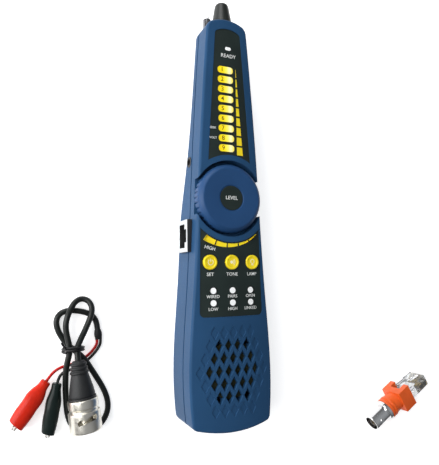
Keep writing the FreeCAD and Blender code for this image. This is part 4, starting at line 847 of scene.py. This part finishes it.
def make_dial():
    """A knurled thumbwheel: forty flutes, a broad bevel, a shallow dish and a dark label."""
    low, high = in_mm(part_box("sensitivity_dial"))
    centre = (low + high) / 2
    radius, top = (high.x - low.x) / 2, high.z
    placing = upright_frame(centre)
    flute_top, flute_depth, flute_count = top - 2.6, 0.62, 40

    def flutes(along, reach, angle):
        if reach < radius - 0.8 or along > flute_top:
            return reach
        fade = min(1.0, max(0.0, (flute_top - along) / 0.5))
        return reach - flute_depth * fade * max(0.0, math.cos(flute_count * angle)) ** 2
    profile = [(low.z, 3.05), (low.z, radius - 0.4), (low.z + 0.3, radius), (top - 2.5, radius),
               (top - 1.17, radius - 0.77), (top, radius - 2.2), (top - 0.1, radius - 5), (top - 0.12, 6.7),
               (top - 0.5, 6.55), (top - 0.5, 3.0)]
    lathe("thumbwheel", profile, placing, "dial_blue", "dial", ("sensitivity_dial",), rounding=0.6,
          segments=480, waves=flutes, smooth=50)
    badge_top = top - 0.16
    badge = [(top - 0.5, 0.01), (top - 0.5, 6.25), (top - 0.2, 6.25), (badge_top, 6.0), (badge_top, 0.01)]
    lathe("dial_badge", badge, placing, "panel_black", "dial", ("dial_label",), rounding=0.1, segments=96)
    lettering("dial_word", [("LEVEL", centre.x, centre.y, 1.9, 0)], "print_white", "dial",
              badge_top, crowned=False)


def make_buttons():
    """Yellow caps, each with a raised ring, a dished face and a pale sign."""
    for name in ("mode", "test", "lamp"):
        node = "button_" + name
        low, high = in_mm(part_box(node))
        centre = (low + high) / 2
        top = high.z - 0.1
        flange, dish = low.z + 0.75, top - 0.22
        profile = [(low.z, 0.01), (low.z, 4.25), (flange, 4.25), (flange, 3.68), (top - 0.25, 3.66),
                   (top, 3.3), (top, 2.75), (dish, 2.5), (dish, 0.01)]
        lathe(node + "_cap", profile, upright_frame(centre), "button_yellow", name + "_button", (node,),
              rounding=0.25, segments=96)
        sign(node, centre, dish, name)


def flat_shape(bm, outline, height):
    bm.faces.new([bm.verts.new((x, y, height)) for x, y in outline])


def flat_bar(bm, centre, half, low, high, height):
    """A flat rectangle, from its half width and its reach along Y from a centre."""
    flat_shape(bm, [(centre.x - half, centre.y + low), (centre.x + half, centre.y + low),
                    (centre.x + half, centre.y + high), (centre.x - half, centre.y + high)], height)


def ring_band(bm, centre, inner, outer, start, finish, height, steps=28):
    """Part of a flat ring, between two angles in degrees."""
    rows = []
    for step in range(steps + 1):
        angle = math.radians(start + (finish - start) * step / steps)
        rows.append([bm.verts.new((centre.x + radius * math.cos(angle), centre.y + radius * math.sin(angle),
                                   height)) for radius in (inner, outer)])
    for row, following in zip(rows, rows[1:]):
        bm.faces.new((row[0], following[0], following[1], row[1]))


def sign(node, centre, height, kind):
    """The pale sign on a button: a standby ring, a sounding dot or a small lamp."""
    bm = bmesh.new()
    lift = height + 0.03
    if kind == "mode":
        ring_band(bm, centre, 1.15, 1.5, 125, 415, lift)
        flat_bar(bm, centre, 0.18, 0.1, 1.7, lift)
    elif kind == "test":
        flat_shape(bm, circle_outline(centre.x - 0.5, centre.y, 0.75, 24), lift)
        for radius in (1.15, 1.75):
            ring_band(bm, centre + Vector((-0.5, 0, 0)), radius, radius + 0.28, -50, 50, lift)
    else:
        ring_band(bm, centre + Vector((0, 0.35, 0)), 0.85, 1.15, -60, 240, lift)
        for drop in (0.75, 1.15, 1.5):
            flat_bar(bm, centre, 0.55, -drop - 0.12, -drop + 0.12, lift)
    raised = bmesh.ops.extrude_face_region(bm, geom=bm.faces[:])["geom"]
    corners = [item for item in raised if isinstance(item, bmesh.types.BMVert)]
    bmesh.ops.translate(bm, verts=corners, vec=(0, 0, 0.05))
    finish_mesh(node + "_sign", bm, KIT, "icon_pale", kind + "_button")


def make_lamps():
    """Six round status lamps and the small lozenge of the power lamp."""
    low, high = in_mm(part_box("status_leds"))
    radius = 1.55
    columns = [low.x + radius, (low.x + high.x) / 2, high.x - radius]
    rows = [high.y - radius, low.y + radius]
    places = [(x, y) for y in rows for x in columns]
    rims = [circle_outline(x, y, 1.9) for x, y in places]
    lenses = [circle_outline(x, y, 1.5) for x, y in places]
    # the dark rims round the lenses are painted shade for their recesses
    plates("lamp_rims", rims, PANEL_TOP - 0.1, PANEL_TOP + 0.03, "rim_painted_shade", "receiver",
           edge=0.05)
    plates("status_lenses", lenses, PANEL_TOP - 0.7, PANEL_TOP + 0.35, "lamp_white", "receiver",
           ("status_leds",), edge=0.45)
    low, high = in_mm(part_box("power_led"))
    rim = rounded_rectangle(low.x - 0.3, high.x + 0.3, low.y - 0.3, high.y + 0.3, 1.1)
    lens = rounded_rectangle(low.x, high.x, low.y, high.y, 0.8)
    # the dark rim round the power lens is painted shade for its recess
    plates("power_rim", [rim], PANEL_TOP - 0.1, PANEL_TOP + 0.03, "rim_painted_shade", "receiver",
           edge=0.05)
    plates("power_lens", [lens], PANEL_TOP - 0.6, PANEL_TOP + 0.25, "lamp_white", "receiver",
           ("power_led",), edge=0.3)


def make_labels():
    words = [("READY", 0.2, 136.2, 2.0, 0), ("HIGH", -11.6, 36.0, 1.7, -14),
             ("SEEK", -9.0, 97.2, 1.15, 0), ("VOLT", -9.0, 92.0, 1.15, 0),
             ("SET", -11.6, 23.0, 1.7, 0), ("TONE", 0.0, 23.0, 1.7, 0), ("LAMP", 11.4, 23.0, 1.7, 0),
             ("WIRED", -10.3, 12.1, 1.55, 0), ("PAIRS", 0.0, 12.1, 1.55, 0), ("OPEN", 10.3, 12.1, 1.55, 0),
             ("LOW", -10.3, 6.0, 1.55, 0), ("HIGH", 0.0, 6.0, 1.55, 0), ("LINKED", 10.3, 6.0, 1.55, 0)]
    lettering("panel_labels", words, "print_white", "receiver", PANEL_TOP)


def forward_frame(low, high):
    centre = (low + high) / 2
    return turned_frame((centre.x, 0, centre.z), 90, "Z")


def make_nose():
    """The probe tip and the little torch beside it."""
    low, high = in_mm(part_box("probe_tip"))
    flange, cone_start = low.y + 2.1, 155.6
    tip = [(low.y, 2.1), (low.y, 6.45), (flange, 6.45), (flange, 5.85), (cone_start, 5.85),
           (cone_start + 1.0, 5.65), (high.y - 1.2, 3.7), (high.y - 0.3, 3.1), (high.y, 2.5), (high.y, 0.01)]
    lathe("probe_cone", tip, forward_frame(low, high), "tip_black", "receiver", ("probe_tip",), rounding=0.7,
          segments=96)
    low, high = in_mm(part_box("torch_led"))
    placing = forward_frame(low, high)
    lens = [(low.y, 0.01), (low.y, 1.48), (high.y - 1.5, 1.48), (high.y - 0.6, 1.2), (high.y - 0.1, 0.6),
            (high.y, 0.01)]
    lathe("torch_lens", lens, placing, "lamp_white", "receiver", ("torch_led",), rounding=0.5)
    low, high = in_mm(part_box("torch_bezel"))
    ring = [(low.y, 1.52), (low.y, 2.08), (high.y - 0.3, 2.08), (high.y, 1.95), (high.y, 1.6),
            (high.y - 0.4, 1.52)]
    lathe("torch_ring", ring, placing, "torch_metal", "receiver", ("torch_bezel",), rounding=0.15)


def make_socket():
    """The network socket: a bright frame round a black mouth."""
    piece = softened("rj45_jack", 0.25, "socket_silver")
    piece.data.materials.append(MATERIALS["part_black"])
    lining_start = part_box("rj45_jack")[0][0] + 0.5 * MM
    for face in piece.data.polygons:
        if face.center.x > lining_start:
            face.material_index = 1


make_windows()
make_arc_scale()
make_dial()
make_buttons()
make_lamps()
make_labels()
make_nose()
make_socket()


# ---- the adapter ----

softened("adapter_body", 0.35, "adapter_orange", smooth=30)
softened("rj45_plug", 0.2, "plug_clear")
softened("plug_latch", 0.15, "plug_clear")
# the jack's insulator is painted dark grey, as painted shade inside its mouth
for node, material in (("bnc_jack_barrel", "chrome"), ("bnc_jack_flange", "chrome"),
                       ("plug_contacts", "gold"), ("bnc_jack_insulator", "insulator_painted_shade"),
                       ("bnc_jack_contact", "gold")):
    paint(nodes[node], material)


# ---- floor and light ----

FLOOR_HALF = 3


def make_stage():
    """A white floor under a sky that is darker at the horizon, for the metal to reflect."""
    mesh = bpy.data.meshes.new("floor")
    mesh.from_pydata([(x * FLOOR_HALF, y * FLOOR_HALF, 0) for x, y in ((-1, -1), (1, -1), (1, 1), (-1, 1))],
                     [], [(0, 1, 2, 3)])
    floor = linked("floor", mesh)
    mesh.materials.append(new_material("floor_white", (0.90, 0.90, 0.90), 0.5, Emission_Strength=0.62,
                                       Emission_Color=(1, 1, 1, 1)))
    world = bpy.data.worlds.new("studio")
    world.use_nodes = True
    tree = world.node_tree
    tree.nodes["Background"].inputs["Strength"].default_value = 1.0
    coordinates = tree.nodes.new("ShaderNodeTexCoord")
    split = tree.nodes.new("ShaderNodeSeparateXYZ")
    tree.links.new(coordinates.outputs["Generated"], split.inputs["Vector"])
    sky = ramp(tree, split.outputs["Z"], [(0.0, (0.13, 0.13, 0.135)), (0.35, (0.10, 0.10, 0.105)),
                                          (0.62, (0.22, 0.23, 0.24)), (1.0, (0.36, 0.37, 0.39))])
    tree.links.new(sky.outputs["Color"], tree.nodes["Background"].inputs["Color"])
    scene.world = world
    scene.view_settings.view_transform = "Standard"


def area_light(name, place, target, size, power):
    """A soft white light at a place, turned to a target."""
    data = bpy.data.lights.new(name, "AREA")
    data.shape = "RECTANGLE"
    data.size, data.size_y = size
    data.energy = power
    light = linked(name, data)
    light.location = place
    aim = Vector(target) - Vector(place)
    light.rotation_euler = aim.to_track_quat("-Z", "Y").to_euler()


make_stage()
area_light("key", (-0.75, 0.10, 0.32), (0, 0.05, 0.0), (0.45, 1.1), 10.0)
area_light("fill", (-0.35, 0.85, 0.42), (0, 0.0, 0), (0.5, 0.5), 4.0)
